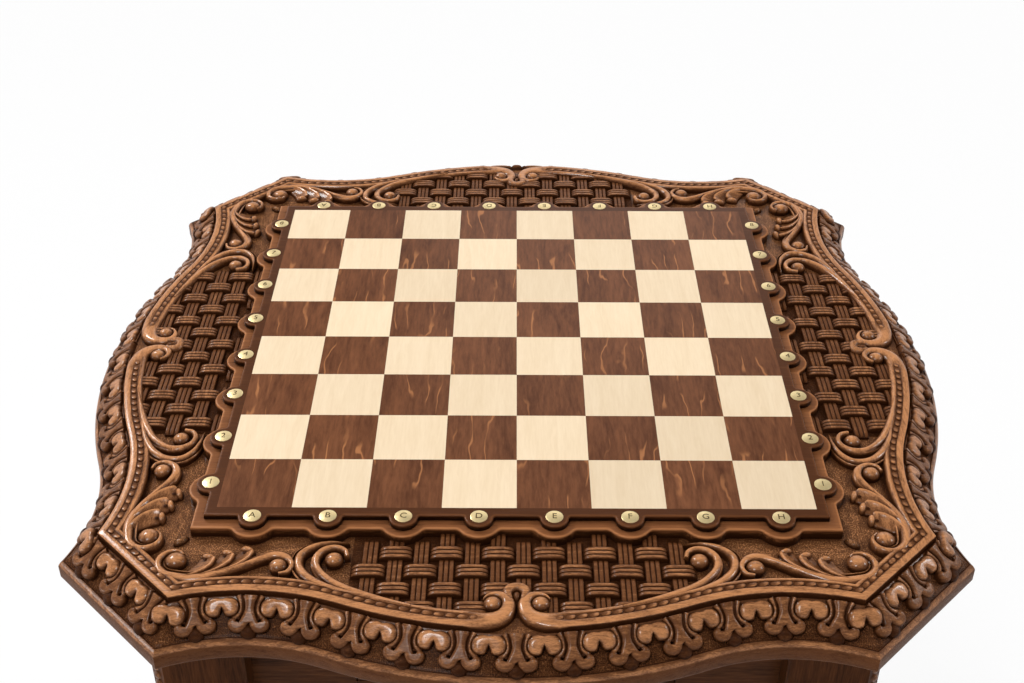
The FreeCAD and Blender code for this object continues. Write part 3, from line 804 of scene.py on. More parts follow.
def borderShape():
    rows = []
    for inset, level, lift, punch in borderCut():
        line = sidePath(inset)
        levels = np.full(len(line), level)
        lifts = np.full(len(line), lift)
        punches = np.full(len(line), float(punch))
        if inset > border["mouldingInset"] - 0.1:
            broken = np.abs(line[:, 0]) < border["centreGap"]
            levels[broken] = min(level, fieldLevel)
            lifts[broken] = border["centreLift"]
            punches[broken] = border["centrePunch"]
        rows.append((np.column_stack([line, levels]), lifts, punches))
    reach = rows[-1][0]
    count = len(reach)
    inner = coreReach * np.column_stack([reach[:, 0] / reach[-1, 0], np.ones(count)])
    for level, punch in ((fieldLevel, 1.0), (underside, 0.0)):
        rows.append((np.column_stack([inner, np.full(count, level)]), np.full(count, border["fieldLift"]),
                     np.full(count, punch)))
    places, lifts, punches = (np.array(values) for values in zip(*rows))
    shape = newShape()
    addTube(shape, places.transpose(1, 0, 2), lifts.T, punches.T)
    return shape


oneBorder = borderShape()
for side, sideName in enumerate(sideNames):
    mesh = makeMesh("carved border", onSide(oneBorder, side), sharpAngle=28.0)
    piece = makePiece("carved_border_" + sideName, mesh, sideFinish(side))
    settle(piece, stands=["border_" + sideName])
print("border boards made")

# Carved scrolls on the field, drawn on one half of a side
scrolls = {
    "height": 6.4,
    "voluteStarts": [48.0, 39.0, 31.0, 25.0],  # places along the moulding where the volute grows out of it
    "volute": [(18.4, 293.3), (12.4, 291.6), (7.8, 288.0), (5.4, 283.0), (5.2, 278.0), (7.2, 273.9),
               (11.0, 271.9), (15.0, 271.9), (18.6, 273.6), (20.8, 276.6)],
    "voluteWidths": [14.1, 14.1, 14.1, 14.1, 14.1, 14.0, 13.4, 12.2, 10.8, 9.8, 8.0, 5.4, 3.2, 1.4],
    "voluteRise": 0.06,  # over the moulding that it grows out of
    "voluteEye": (15.0, 279.6),
    "hookInner": [(66, 283.0), (90, 275.6), (108, 268.0), (120.6, 259.4), (128.6, 249.0), (129.4, 239.4),
                  (124.6, 232.4), (117.4, 230.6), (111.4, 233.6), (109.6, 239.4)],
    "hookInnerWidths": [3.0, 5.4, 8.0, 9.6, 9.6, 8.6, 7.0, 5.6, 4.6, 3.6],
    "hookInnerRise": 0.4,  # over the other bands
    "hookEye": (118.0, 241.0),
    "hookOuter": [(98, 273.4), (117, 267.6), (131.6, 259.4), (140.2, 248.6), (140.8, 237.2), (133.4, 229.4),
                  (122.0, 225.8), (109.0, 225.6)],
    "hookOuterWidths": [3.0, 7.0, 9.5, 10.0, 9.0, 7.6, 5.6, 2.4],
    "spiralEye": (220.0, 242.2),
    # from the eye to the band's middle, at its inner end and where the stem leaves
    "spiralReach": (6.2, 13.4),
    "spiralTurn": (225, 225),  # degrees, where it starts and how far it goes round
    "spiralPoints": 8,
    "stem": [(206.0, 257.4), (191.0, 253.4), (177.0, 246.6), (166.0, 240.0), (157.0, 237.0), (148.8, 239.4),
             (144.6, 246.2), (146.8, 252.6), (152.0, 254.6)],
    "stemWidths": [3.0, 5.4, 7.4, 9.0, 10.4, 11.4, 11.8, 11.6, 9.6, 7.8, 6.8, 7.0, 7.8, 7.2, 5.4, 3.8, 2.4],
    "stemDrop": 0.2,  # under the other bands
    "stemEye": (153.4, 247.0),
    "eyeRadii": {"voluteEye": 6.0, "hookEye": 6.2, "spiralEye": 7.2, "stemEye": 6.2},
    "eyeFoot": 3.0,  # upright part of an eye, under its dome
    "eyeRise": 4.8,
    "fronds": [[(213, 256.5), (206.0, 250.5), (201.0, 244.5), (199.6, 238.0)],
               [(203, 255.0), (195.4, 248.4), (189.6, 241.6), (187.4, 234.6)],
               [(193, 252.0), (184.6, 245.6), (178.0, 238.4), (175.2, 231.2)]],
    "frondWidths": [4.0, 8.5, 11.0, 12.0, 11.4],
    "frondLip": (5.6, 2.7),
    "frondLipShare": 0.9,  # of the height
    "frondHoleShare": 0.62,
    "frondHole": (1.8, 3.0, 1.3),  # where the painted eye shade sits: from the lip, along and outward, and its radius
    "cornerBud": (221.0, 221.0),
    "cornerBudRadii": (6.0, 3.2, 3.6),
    "cap": [(0, 261.4), (4.0, 262.0), (7.6, 264.4), (9.4, 268.0), (8.8, 272.0), (6.2, 275.2), (3.4, 277.2),
            (2.0, 275.0), (2.6, 271.8), (2.0, 269.4), (0, 268.4)],  # right half of the arched leaf
    "capSpine": [(-4.4, 273.8), (-5.6, 269.2), (-3.6, 265.6), (0, 264.8), (3.6, 265.6), (5.6, 269.2),
                 (4.4, 273.8)],
    "capBud": (0, 272.6),
    "capBudRadii": (2.9, 4.8, 6.0),
}


def spiralLine():
    # points on a steady spiral about its eye
    count = scrolls["spiralPoints"]
    x, y = scrolls["spiralEye"]
    start, sweep = scrolls["spiralTurn"]
    turns = np.radians(start + sweep * np.linspace(0, 1, count))
    away = np.linspace(*scrolls["spiralReach"], count)
    return [(x + reach * math.cos(turn), y + reach * math.sin(turn)) for reach, turn in zip(away, turns)]


def scrollHalf():
    shape = newShape()
    tall = scrolls["height"]
    base = fieldLevel
    middle = border["mouldingInset"] + border["mouldingWidth"] / 2
    volute = [(along, fieldReach(along, middle)) for along in scrolls["voluteStarts"]] + scrolls["volute"]
    addBand(shape, volute, scrolls["voluteWidths"], border["mouldingHeight"] + scrolls["voluteRise"], domed,
            base, firstCut=channelled, change=(0.22, 0.42))
    addBand(shape, scrolls["hookOuter"], scrolls["hookOuterWidths"], tall, ribbon, base, tips=(0, 0.2))
    addBand(shape, scrolls["hookInner"], scrolls["hookInnerWidths"], tall + scrolls["hookInnerRise"], domed,
            base, firstCut=ribbon, change=(0.5, 0.75))
    addBand(shape, spiralLine() + scrolls["stem"], scrolls["stemWidths"], tall - scrolls["stemDrop"], domed,
            base, firstCut=ribbon, change=(0.6, 0.8), step=0.8)
    for eye, radius in scrolls["eyeRadii"].items():
        addDome(shape, scrolls[eye], (radius, radius, scrolls["eyeRise"]), base, rows=6, columns=20,
                foot=scrolls["eyeFoot"])
    along, outward, hole = scrolls["frondHole"]
    for frond in scrolls["fronds"]:
        addBand(shape, frond, scrolls["frondWidths"], tall, shell, base, tips=(0, 0.1))
        (x, y), (lastX, lastY) = frond[-2:]
        heading = math.atan2(lastY - y, lastX - x)
        lip = (*scrolls["frondLip"], scrolls["frondLipShare"] * tall)
        addDome(shape, frond[-1], lip, base, heading + math.pi / 2, rows=4, rub=1.1)
        addPaintedEyeShade(shape, (lastX + along, lastY + outward), hole, base + scrolls["frondHoleShare"] * tall)
    addDome(shape, scrolls["cornerBud"], scrolls["cornerBudRadii"], base, math.radians(45))
    return shape


def leafCap():
    # an arched leaf between the volutes, with a dark bud under it
    shape = newShape()
    half = smoothLine(scrolls["cap"], step=1.0)
    addPillow(shape, half, [scrolls["capSpine"]], scrolls["height"], fieldLevel, rub=0.85)
    addDome(shape, scrolls["capBud"], scrolls["capBudRadii"], fieldLevel, rub=0.62)
    return shape


halfScrolls = scrollHalf()
oneScroll = joined([halfScrolls, mirrored(halfScrolls), leafCap()])
for side, sideName in enumerate(sideNames):
    mesh = makeMesh("carved scrolls", onSide(oneScroll, side), sharpAngle=50.0)
    settle(makePiece("carved_scrolls_" + sideName, mesh, sideFinish(side)))
print("scrolls made")


# Geometry Nodes trees
def newTree(name, inputs):
    tree = bpy.data.node_groups.new(name, "GeometryNodeTree")
    tree.interface.new_socket("Geometry", in_out="INPUT", socket_type="NodeSocketGeometry")
    for label, kind in inputs:
        tree.interface.new_socket(label, in_out="INPUT", socket_type="NodeSocket" + kind)
    tree.interface.new_socket("Geometry", in_out="OUTPUT", socket_type="NodeSocketGeometry")
    return tree, tree.nodes.new("NodeGroupInput"), tree.nodes.new("NodeGroupOutput")


def socketName(tree, label):
    for item in tree.interface.items_tree:
        if item.item_type == "SOCKET" and item.in_out == "INPUT" and item.name == label:
            return item.identifier
    raise KeyError(label)


def finishTree(tree, shapes, material, end):
    gather = addNode(tree, "GeometryNodeJoinGeometry")
    for shape in shapes:
        tree.links.new(shape, gather.inputs[0])
    real = addNode(tree, "GeometryNodeRealizeInstances", i0=gather.outputs[0])
    coated = addNode(tree, "GeometryNodeSetMaterial", Geometry=real.outputs[0], Material=material)
    tree.links.new(coated.outputs[0], end.inputs[0])


def runTree(name, mesh, tree, values):
    # gives the tree's result as a plain mesh
    carrier = bpy.data.objects.new(name, mesh)
    bpy.context.scene.collection.objects.link(carrier)
    modifier = carrier.modifiers.new("nodes", "NODES")
    modifier.node_group = tree
    for label, value in values.items():
        modifier[socketName(tree, label)] = value
    bpy.context.view_layer.update()
    ready = carrier.evaluated_get(bpy.context.evaluated_depsgraph_get())
    plain = bpy.data.meshes.new_from_object(ready)
    plain.name = name
    carrier.modifiers.clear()
    bpy.data.objects.remove(carrier)
    return plain


def pickMotif(tree, motif):
    return addNode(tree, "GeometryNodeObjectInfo", Object=motif).outputs["Geometry"]


def motifTree():
    # one motif at every so many of the even steps along a line, tilted outwards
    tree, start, end = newTree("motifs along a line", [("Motif", "Object"), ("Count", "Int"),
                                                       ("Every", "Int"), ("Shift", "Int"),
                                                       ("Tilt", "Float"), ("Finish", "Material")])
    given = start.outputs
    curve = addNode(tree, "GeometryNodeMeshToCurve", Mesh=given["Geometry"]).outputs[0]
    even = addNode(tree, "GeometryNodeResampleCurve", Curve=curve, Count=given["Count"]).outputs[0]
    tangent = addNode(tree, "GeometryNodeInputTangent").outputs[0]
    facing = addNode(tree, "FunctionNodeAlignRotationToVector", {"axis": "X", "pivot_axis": "Z"},
                     Vector=tangent)
    lean = addNode(tree, "ShaderNodeCombineXYZ", X=given["Tilt"]).outputs[0]
    turned = addNode(tree, "FunctionNodeRotateRotation", {"rotation_space": "LOCAL"},
                     Rotation=facing.outputs[0], Rotate_By=lean).outputs[0]
    index = addNode(tree, "GeometryNodeInputIndex").outputs[0]
    step = mathNode(tree, "MODULO", mathNode(tree, "ADD", index, given["Shift"]), given["Every"])
    run = addNode(tree, "GeometryNodeInstanceOnPoints", Points=even,
                  Selection=mathNode(tree, "LESS_THAN", step, 0.5),
                  Instance=pickMotif(tree, given["Motif"]), Rotation=turned).outputs[0]
    finishTree(tree, [run], given["Finish"], end)
    return tree


def weaveTree():
    # a square grid of crossings: at every other one an arched strip lies over, at the rest a flat one shows
    tree, start, end = newTree("woven strips", [("Over", "Object"), ("Under", "Object"), ("Columns", "Int"),
                                                ("Rows", "Int"), ("Along Pitch", "Float"),
                                                ("Across Pitch", "Float"), ("First", "Float"),
                                                ("Middle", "Vector"), ("Turn", "Float"),
                                                ("Bow Middle", "Vector"), ("Bow Reach", "Float"),
                                                ("Inner Edge", "Float"), ("Notch Half", "Float"),
                                                ("Notch Edge", "Float"), ("Finish", "Material")])
    given = start.outputs

    def span(count, pitch):
        return mathNode(tree, "MULTIPLY", mathNode(tree, "SUBTRACT", given[count], 1.0), given[pitch])

    grid = addNode(tree, "GeometryNodeMeshGrid", Size_X=span("Columns", "Along Pitch"),
                   Size_Y=span("Rows", "Across Pitch"), Vertices_X=given["Columns"],
                   Vertices_Y=given["Rows"]).outputs[0]
    index = addNode(tree, "GeometryNodeInputIndex").outputs[0]
    row = mathNode(tree, "MODULO", index, given["Rows"])
    column = mathNode(tree, "FLOOR", mathNode(tree, "DIVIDE", index, given["Rows"]))
    step = mathNode(tree, "ADD", mathNode(tree, "ADD", row, column), given["First"])
    marked = addNode(tree, "GeometryNodeStoreNamedAttribute", {"data_type": "FLOAT", "domain": "POINT"},
                     Geometry=grid, Name="odd", Value=mathNode(tree, "MODULO", step, 2.0)).outputs[0]
    placed = addNode(tree, "GeometryNodeSetPosition", Geometry=marked, Offset=given["Middle"]).outputs[0]
    odd = addNode(tree, "GeometryNodeInputNamedAttribute", {"data_type": "FLOAT"}, Name="odd").outputs[0]
    position = addNode(tree, "GeometryNodeInputPosition").outputs[0]
    along, inward = addNode(tree, "ShaderNodeSeparateXYZ", Vector=position).outputs[:2]
    outward = mathNode(tree, "MULTIPLY", inward, -1.0)
    away = addNode(tree, "ShaderNodeVectorMath", {"operation": "DISTANCE"}, i0=position,
                   i1=given["Bow Middle"])
    inside = mathNode(tree, "LESS_THAN", away.outputs["Value"], given["Bow Reach"])
    beside = mathNode(tree, "GREATER_THAN", mathNode(tree, "ABSOLUTE", along), given["Notch Half"])
    before = mathNode(tree, "LESS_THAN", outward, given["Notch Edge"])
    free = mathNode(tree, "MULTIPLY", inside, mathNode(tree, "MAXIMUM", beside, before))
    clear = mathNode(tree, "GREATER_THAN", outward, given["Inner Edge"])
    quarter = mathNode(tree, "ADD", given["Turn"], math.pi / 2)
    runs = []
    for label, chosen, angle in (("Over", mathNode(tree, "MULTIPLY", odd, clear), given["Turn"]),
                                 ("Under", mathNode(tree, "SUBTRACT", 1.0, odd), quarter)):
        facing = addNode(tree, "ShaderNodeCombineXYZ", Z=angle).outputs[0]
        turned = addNode(tree, "FunctionNodeEulerToRotation", Euler=facing).outputs[0]
        runs.append(addNode(tree, "GeometryNodeInstanceOnPoints", Points=placed, Rotation=turned,
                            Selection=mathNode(tree, "MULTIPLY", chosen, free),
                            Instance=pickMotif(tree, given[label])).outputs[0])
    finishTree(tree, runs, given["Finish"], end)
    return tree


def spotTree():
    # one shape at every given place
    tree, start, end = newTree("shape at each place", [("Shape", "Object"), ("Finish", "Material")])
    spots = addNode(tree, "GeometryNodeInstanceOnPoints", Points=start.outputs["Geometry"],
                    Instance=pickMotif(tree, start.outputs["Shape"])).outputs[0]
    finishTree(tree, [spots], start.outputs["Finish"], end)
    return tree


trees = {"motif": motifTree(), "weave": weaveTree(), "spot": spotTree()}


def placeEach(name, shape, sharpAngle, places, finish):
    # the same shape at every place, as one mesh
    holder = makePiece(name, makeMesh(name, shape, sharpAngle))
    mesh = runTree(name, rawMesh(name + " places", places), trees["spot"],
                   {"Shape": holder, "Finish": finish})
    bpy.data.objects.remove(holder)
    return mesh


def closedLine(inset, level):
    # the whole outline at an inset, from the middle of the front, as a loop of edges
    line = sidePath(inset)[:-1]
    loop = np.vstack([toSide(np.column_stack([line, np.full(len(line), level)]), side)
                      for side in range(4)])
    loop = np.roll(loop, -((len(line) + 1) // 2), axis=0)
    count = len(loop)
    return rawMesh("line", loop, [(i, (i + 1) % count) for i in range(count)])


# Leaf motifs on the sloping rim
rim = {
    "motifs": 128,  # hearts and split leaves in turn
    "inset": 13.6,
    "relief": 4.8,
    "heartRelief": 5.2,
    "leafRelief": 5.0,
    "petalShare": 0.86,  # of the relief
    "grooveShare": 0.66,
    "eyeShare": 0.8,
    "rubs": {"heart": 0.88, "leaf": 0.66, "petal": 0.76, "groove": 0.3, "bud": 0.12},
    "heart": [(0, 12.2), (4.0, 13.0), (8.0, 12.1), (10.6, 9.6), (11.2, 6.2), (10.2, 2.6), (7.4, 0.3),
              (3.9, 0.2), (1.6, 1.5), (0.5, 4.0), (0, 5.8)],  # right half, hanging from the moulding
    "heartSpine": [(-5.6, 4.2), (-5.1, 6.9), (-2.7, 8.7), (0, 9.5), (2.7, 8.7), (5.1, 6.9), (5.6, 4.2)],
    "leaf": [(0, 14.0), (5.2, 13.6), (4.0, 9.8), (3.3, 6.0), (3.7, 2.8), (4.9, 0.2), (6.0, -2.2),
             (7.2, -3.2), (7.6, -1.6), (8.4, 0.0), (10.8, -0.2), (12.8, -2.0), (13.4, -4.6), (12.4, -7.4),
             (9.8, -9.2), (6.4, -9.8), (3.2, -9.0), (1.2, -7.2), (0.4, -5.2),
             (0, -3.8)],  # right half of the split leaf, whose lobe curls round a notch
    "leafSpines": [[(0, 13.4), (0, 9.0), (0, 4.4)],
                   [(0, 4.4), (1.6, 1.0), (3.6, -3.2), (6.0, -6.2), (9.0, -6.2), (10.2, -3.6)],
                   [(0, 4.4), (-1.6, 1.0), (-3.6, -3.2), (-6.0, -6.2), (-9.0, -6.2), (-10.2, -3.6)]],
    # the petal lies along the heart
    "petal": [(7.6, 13.4), (5.9, 9.6), (5.2, 6.0), (5.7, 2.8), (7.6, 0.4), (9.8, -1.4), (10.4, -3.2)],
    "petalWidths": [4.6, 3.2, 2.6, 2.8, 3.6, 4.6, 5.0],
    # the floor between leaf and petal, with a low rub that keeps it dark: dark glaze with painted shade
    "groove": [(6.0, 13.2), (4.9, 9.8), (4.2, 6.0), (4.7, 2.8), (6.6, 0.2), (8.6, -1.2)],
    "grooveWidths": [3.6],
    "eye": (6.1, -0.9),
    "eyeRadius": 0.9,
    "bud": (0, -8.8),
    "budRadii": (5.4, 4.8, 3.8),
    "budFoot": 0.8,
    "sink": 0.7,  # into the slope
}


def heartMotif():
    # two plump lobes with a narrow cleft between them
    shape = newShape()
    half = smoothLine(rim["heart"], step=1.2)
    addPillow(shape, half, [rim["heartSpine"]], rim["heartRelief"], rub=rim["rubs"]["heart"])
    return shape


def leafMotif():
    # a stem that splits into two plump leaves over a dark bud, with a curled petal along each side
    tall = rim["relief"]
    rubs = rim["rubs"]
    shape = newShape()
    addBand(shape, rim["petal"], rim["petalWidths"], rim["petalShare"] * tall, rounded, step=1.9,
            tips=(0, 0.2), rub=rubs["petal"])
    addBand(shape, rim["groove"], rim["grooveWidths"], rim["grooveShare"] * tall, rounded, step=3.0,
            rub=rubs["groove"])
    addPaintedEyeShade(shape, rim["eye"], rim["eyeRadius"], rim["eyeShare"] * tall)
    middle = newShape()
    half = smoothLine(rim["leaf"], step=1.3)
    addPillow(middle, half, rim["leafSpines"], rim["leafRelief"], rub=rubs["leaf"])
    addDome(middle, rim["bud"], rim["budRadii"], 0, rub=rubs["bud"], foot=rim["budFoot"])
    return joined([shape, mirrored(shape), middle])


rimTilt = math.atan2(border["rimRise"], border["rimWidth"])
rimBase = slopeLevel(rim["inset"]) - rim["sink"]
for shift, (name, shape) in enumerate((("rim_leaves", leafMotif()), ("rim_hearts", heartMotif()))):
    motif = makePiece("rim motif", makeMesh("rim motif", shape, sharpAngle=55.0))
    rimMesh = runTree(name, closedLine(rim["inset"], rimBase), trees["motif"],
                      {"Motif": motif, "Count": rim["motifs"], "Every": 2, "Shift": shift, "Tilt": rimTilt,
                       "Finish": finishes["carvedX"]})
    bpy.data.objects.remove(motif)
    settle(makePiece(name, rimMesh))
    print(name, len(rimMesh.polygons), "faces")

# Row of beads in the moulding's channel, leaning towards the corners
beads = {
    "pitch": 7.2,
    "length": 6.7,
    "width": 4.2,
    "height": 0.85,
    "gap": 23.0,  # half the stretch in the middle of a side that has none
    "slant": 0.3,
    "along": [(0.0, 0.7, 0.25, 0.3), (0.3, 0.95, 0.5, 0.65), (0.62, 1.0, 0.9, 0.95), (0.85, 0.8, 1.0, 1.0),
              (0.97, 0.45, 0.75, 0.5), (1.0, 0.3, 0.0, 0.0)],  # place, width, height and lift
    "across": [(-1, -0.3, 0.0), (-1, 0.5, 0.4), (-0.45, 0.95, 0.85), (0.45, 0.95, 0.85), (1, 0.5, 0.4),
               (1, -0.3, 0.0)],  # place, height and lift
}


def beadMotif():
    # a tongue that rises to a round nose; the lift falls to 0 at the nose's foot, painting a dark crescent of
    # shade in front of each bead
    rings = []
    lifts = []
    for share, width, rise, lift in beads["along"]:
        along = (share - 0.5) * beads["length"]
        half = width * beads["width"] / 2
        rings.append([(along + beads["slant"] * spot * half, spot * half, level * rise * beads["height"])
                      for spot, level, part in beads["across"]])
        lifts.append([lift * part for spot, level, part in beads["across"]])
    shape = newShape()
    addTube(shape, rings, np.array(lifts))
    return shape


def halfLines(inset, level, gap):
    # eight lines from near the middle of a side out to a corner, and the length of one
    path = sidePath(inset)
    right = path[path[:, 0] >= gap]
    points = []
    edges = []
    for side in range(4):
        for way in (1, -1):
            run = toSide(np.column_stack([right[:, 0] * way, right[:, 1], np.full(len(right), level)]),
                         side)
            edges.extend((len(points) + i, len(points) + i + 1) for i in range(len(run) - 1))
            points.extend(run)
    return rawMesh("half lines", points, edges), np.linalg.norm(np.diff(right, axis=0), axis=1).sum()


beadObject = makePiece("bead", makeMesh("bead", beadMotif(), sharpAngle=60.0))
beadLines, beadRun = halfLines(border["mouldingInset"] + border["channelMiddle"], channel, beads["gap"])
beadCount = int(beadRun / beads["pitch"])
beadMesh = runTree("moulding beads", beadLines, trees["motif"],
                   {"Motif": beadObject, "Count": beadCount, "Every": 1, "Shift": 0, "Tilt": 0.0,
                    "Finish": finishes["carvedX"]})
bpy.data.objects.remove(beadObject)
settle(makePiece("moulding_beads", beadMesh))
print("beads:", 8 * beadCount)

# Basket weave panels
weave = {
    "alongPitch": 16.6,
    "acrossPitch": 16.4,
    "columns": 13,
    "rows": 5,
    "rowMiddle": 250.0,
    "shifts": (4.5, 1.5, 4.5, -1.5),  # how far the crossings stand off the middle of each side
    # the under strips are rubbed less than the over strips: painted shade on the lower layer
    "over": {"length": 22.4, "width": 10.8, "height": 4.9, "arch": 0.62, "rub": 0.74},
    "under": {"length": 25.0, "width": 10.2, "height": 3.3, "arch": 0.45, "rub": 0.58},
    # what both layers share; sink is the foot's depth under the field
    "strip": {"points": 25, "rings": 11, "ridges": 3, "crown": 1.25, "blunt": 0.4, "groove": 0.26,
              "pinch": 0.06, "endFade": 0.8, "sink": 0.4},
    "halfWidth": 107.0,
    "tuckInset": 31.0,  # the strips' outer ends stop here, inside the moulding
    "tuckRoom": 8.0,  # crossings up to this far beyond it are laid too, and drawn in
    "innerEdge": 222.0,
    "notch": (18.0, 276.0),  # no strips where the volutes sit
    "bed": {"outerInset": 38.0, "innerStep": 16.0, "rise": 0.3, "depth": 0.6, "lift": 0.2, "punch": 0.6,
            "rings": 33},
}


def stripShape(length, width, height, arch, rub):
    # a strip with three rounded ridges, bent down at its ends; its lift drops in the grooves and towards the
    # ends, dark glaze with painted shade where it dips under its neighbours
    strip = weave["strip"]
    foot = -strip["sink"]
    across = np.linspace(-1, 1, strip["points"])
    wave = np.abs(np.cos(across * strip["ridges"] / 2 * math.pi))
    ridge = np.minimum(strip["crown"] * wave ** strip["blunt"], 1.0)
    levels = height * (1 - strip["groove"] + strip["groove"] * ridge)
    rings = []
    lifts = []
    for place in np.linspace(-1, 1, strip["rings"]):
        bend = 1 - arch * abs(place) ** 5
        half = width / 2 * (1 - strip["pinch"] * abs(place) ** 4)
        along = place * length / 2
        top = [(along, spot * half, bend * level) for spot, level in zip(across, levels)]
        rings.append([(along, -half, foot), *top, (along, half, foot)])
        lifts.append([0.0, *(rub * ridge ** 4 * (1 - strip["endFade"] * abs(place) ** 6)), 0.0])
    shape = newShape()
    addTube(shape, rings, np.array(lifts))
    return shape


def weaveFloor(side):
    # the bed that the strips lie in, kept dark by a low lift: dark glaze with painted shade between the strips
    bed = weave["bed"]
    top = fieldLevel + bed["rise"]
    bottom = top - bed["depth"]
    inner = coreReach + bed["innerStep"]
    rings = []
    for along in np.linspace(-weave["halfWidth"], weave["halfWidth"], bed["rings"]):
        outer = fieldReach(along, bed["outerInset"])
        rings.append([(along, inner, top), (along, outer, top), (along, outer, bottom),
                      (along, inner, bottom)])
    shape = newShape()
    addTube(shape, rings, bed["lift"], bed["punch"])
    return onSide(shape, side)


def tuckUnder(mesh):
    # draws in every point that would come out beyond the moulding
    points = np.empty(len(mesh.vertices) * 3)
    mesh.vertices.foreach_get("co", points)
    points = points.reshape(-1, 3)
    away = points[:, :2] - [0, -bowCentre * mm]
    reach = np.linalg.norm(away, axis=1)
    most = (outline["bowRadius"] - weave["tuckInset"]) * mm
    far = reach > most
    points[far, :2] = away[far] * (most / reach[far])[:, None] + [0, -bowCentre * mm]
    mesh.vertices.foreach_set("co", points.ravel())
    mesh.update()


overStrip, underStrip = [makePiece("strip", makeMesh("strip", stripShape(**weave[layer]), sharpAngle=50.0))
                         for layer in ("over", "under")]
for side, sideName in enumerate(sideNames):
    acrossSide = side % 2 == 1
    strips = runTree("weave", bpy.data.meshes.new("start"), trees["weave"],
                     {"Over": overStrip, "Under": underStrip, "Columns": weave["columns"],
                      "Rows": weave["rows"],
                      "Along Pitch": weave["alongPitch"] * mm, "Across Pitch": weave["acrossPitch"] * mm,
                      "First": 0.0 if acrossSide else 1.0,
                      "Middle": (weave["shifts"][side] * mm, -weave["rowMiddle"] * mm, fieldLevel * mm),
                      "Turn": math.pi / 2 if acrossSide else 0.0,
                      "Bow Middle": (0, -bowCentre * mm, fieldLevel * mm),
                      "Bow Reach": (outline["bowRadius"] - weave["tuckInset"] + weave["tuckRoom"]) * mm,
                      "Inner Edge": weave["innerEdge"] * mm, "Notch Half": weave["notch"][0] * mm,
                      "Notch Edge": weave["notch"][1] * mm, "Finish": sideFinish(side)})
    tuckUnder(strips)
    strips.transform(turning(90 * side))
    settle(makePiece("woven_panel_" + sideName, strips))
    bed = makePiece("weave_bed_" + sideName, makeMesh("weave bed", weaveFloor(side)), sideFinish(side))
    settle(bed)
for helper in (overStrip, underStrip):
    bpy.data.objects.remove(helper)
print("weave made")

# Lobed plates under the squares
plates = {
    "lobes": 8,
    "lobePitch": 50.0,
    "lobeLine": 208.5,
    "boardHalf": 207.5,
    "boardLobe": 9.5,
    "boardFillet": 2.0,
    "plinthHalf": 215.5,
    "plinthLobe": 15.0,
    "plinthFillet": 5.0,
    "edgeRound": 0.9,
    "fieldHalf": 200.0,
    "rebateFloor": 0.6,  # over the board's underside
    "filletSteps": 8,
    "lobeSteps": 18,
    "sharpAngle": 35.0,
}


def lobePlaces():
    return [(lobe - (plates["lobes"] - 1) / 2) * plates["lobePitch"] for lobe in range(plates["lobes"])]


def lobedLine(half, radius, fillet):
    # a square with a half-round lobe at each coordinate disc and a hollow fillet each side of it
    line = []
    lobeLine = plates["lobeLine"]
    drop = half + fillet - lobeLine
    shift = math.sqrt((radius + fillet) ** 2 - drop ** 2)
    meet = math.atan2(drop, shift)
    fillets = np.linspace(-math.pi / 2, -meet, plates["filletSteps"])
    for middle in lobePlaces():
        for way, turns in ((-1, fillets), (1, fillets[::-1])):
            if way > 0:
                for turn in np.linspace(math.pi - meet, meet, plates["lobeSteps"])[1:-1]:
                    line.append((middle + radius * math.cos(turn), lobeLine + radius * math.sin(turn)))
            for turn in turns:
                line.append((middle + way * (shift - fillet * math.cos(turn)),
                             half + fillet + fillet * math.sin(turn)))
    line.append((half, half))
    whole = []
    for side in range(4):
        whole.append(toSide(np.column_stack([line, np.zeros(len(line))]), side)[:, :2])
    return np.vstack(whole)


def drawnIn(line, inset):
    # the same closed line moved inwards
    ahead = np.roll(line, -1, axis=0) - line
    behind = line - np.roll(line, 1, axis=0)
    ahead /= np.linalg.norm(ahead, axis=1)[:, None]
    behind /= np.linalg.norm(behind, axis=1)[:, None]
    inward = np.column_stack([-(ahead + behind)[:, 1], (ahead + behind)[:, 0]])
    length = np.linalg.norm(inward, axis=1)[:, None]
    return line + inward / length * inset / np.maximum(length / 2, 0.5)


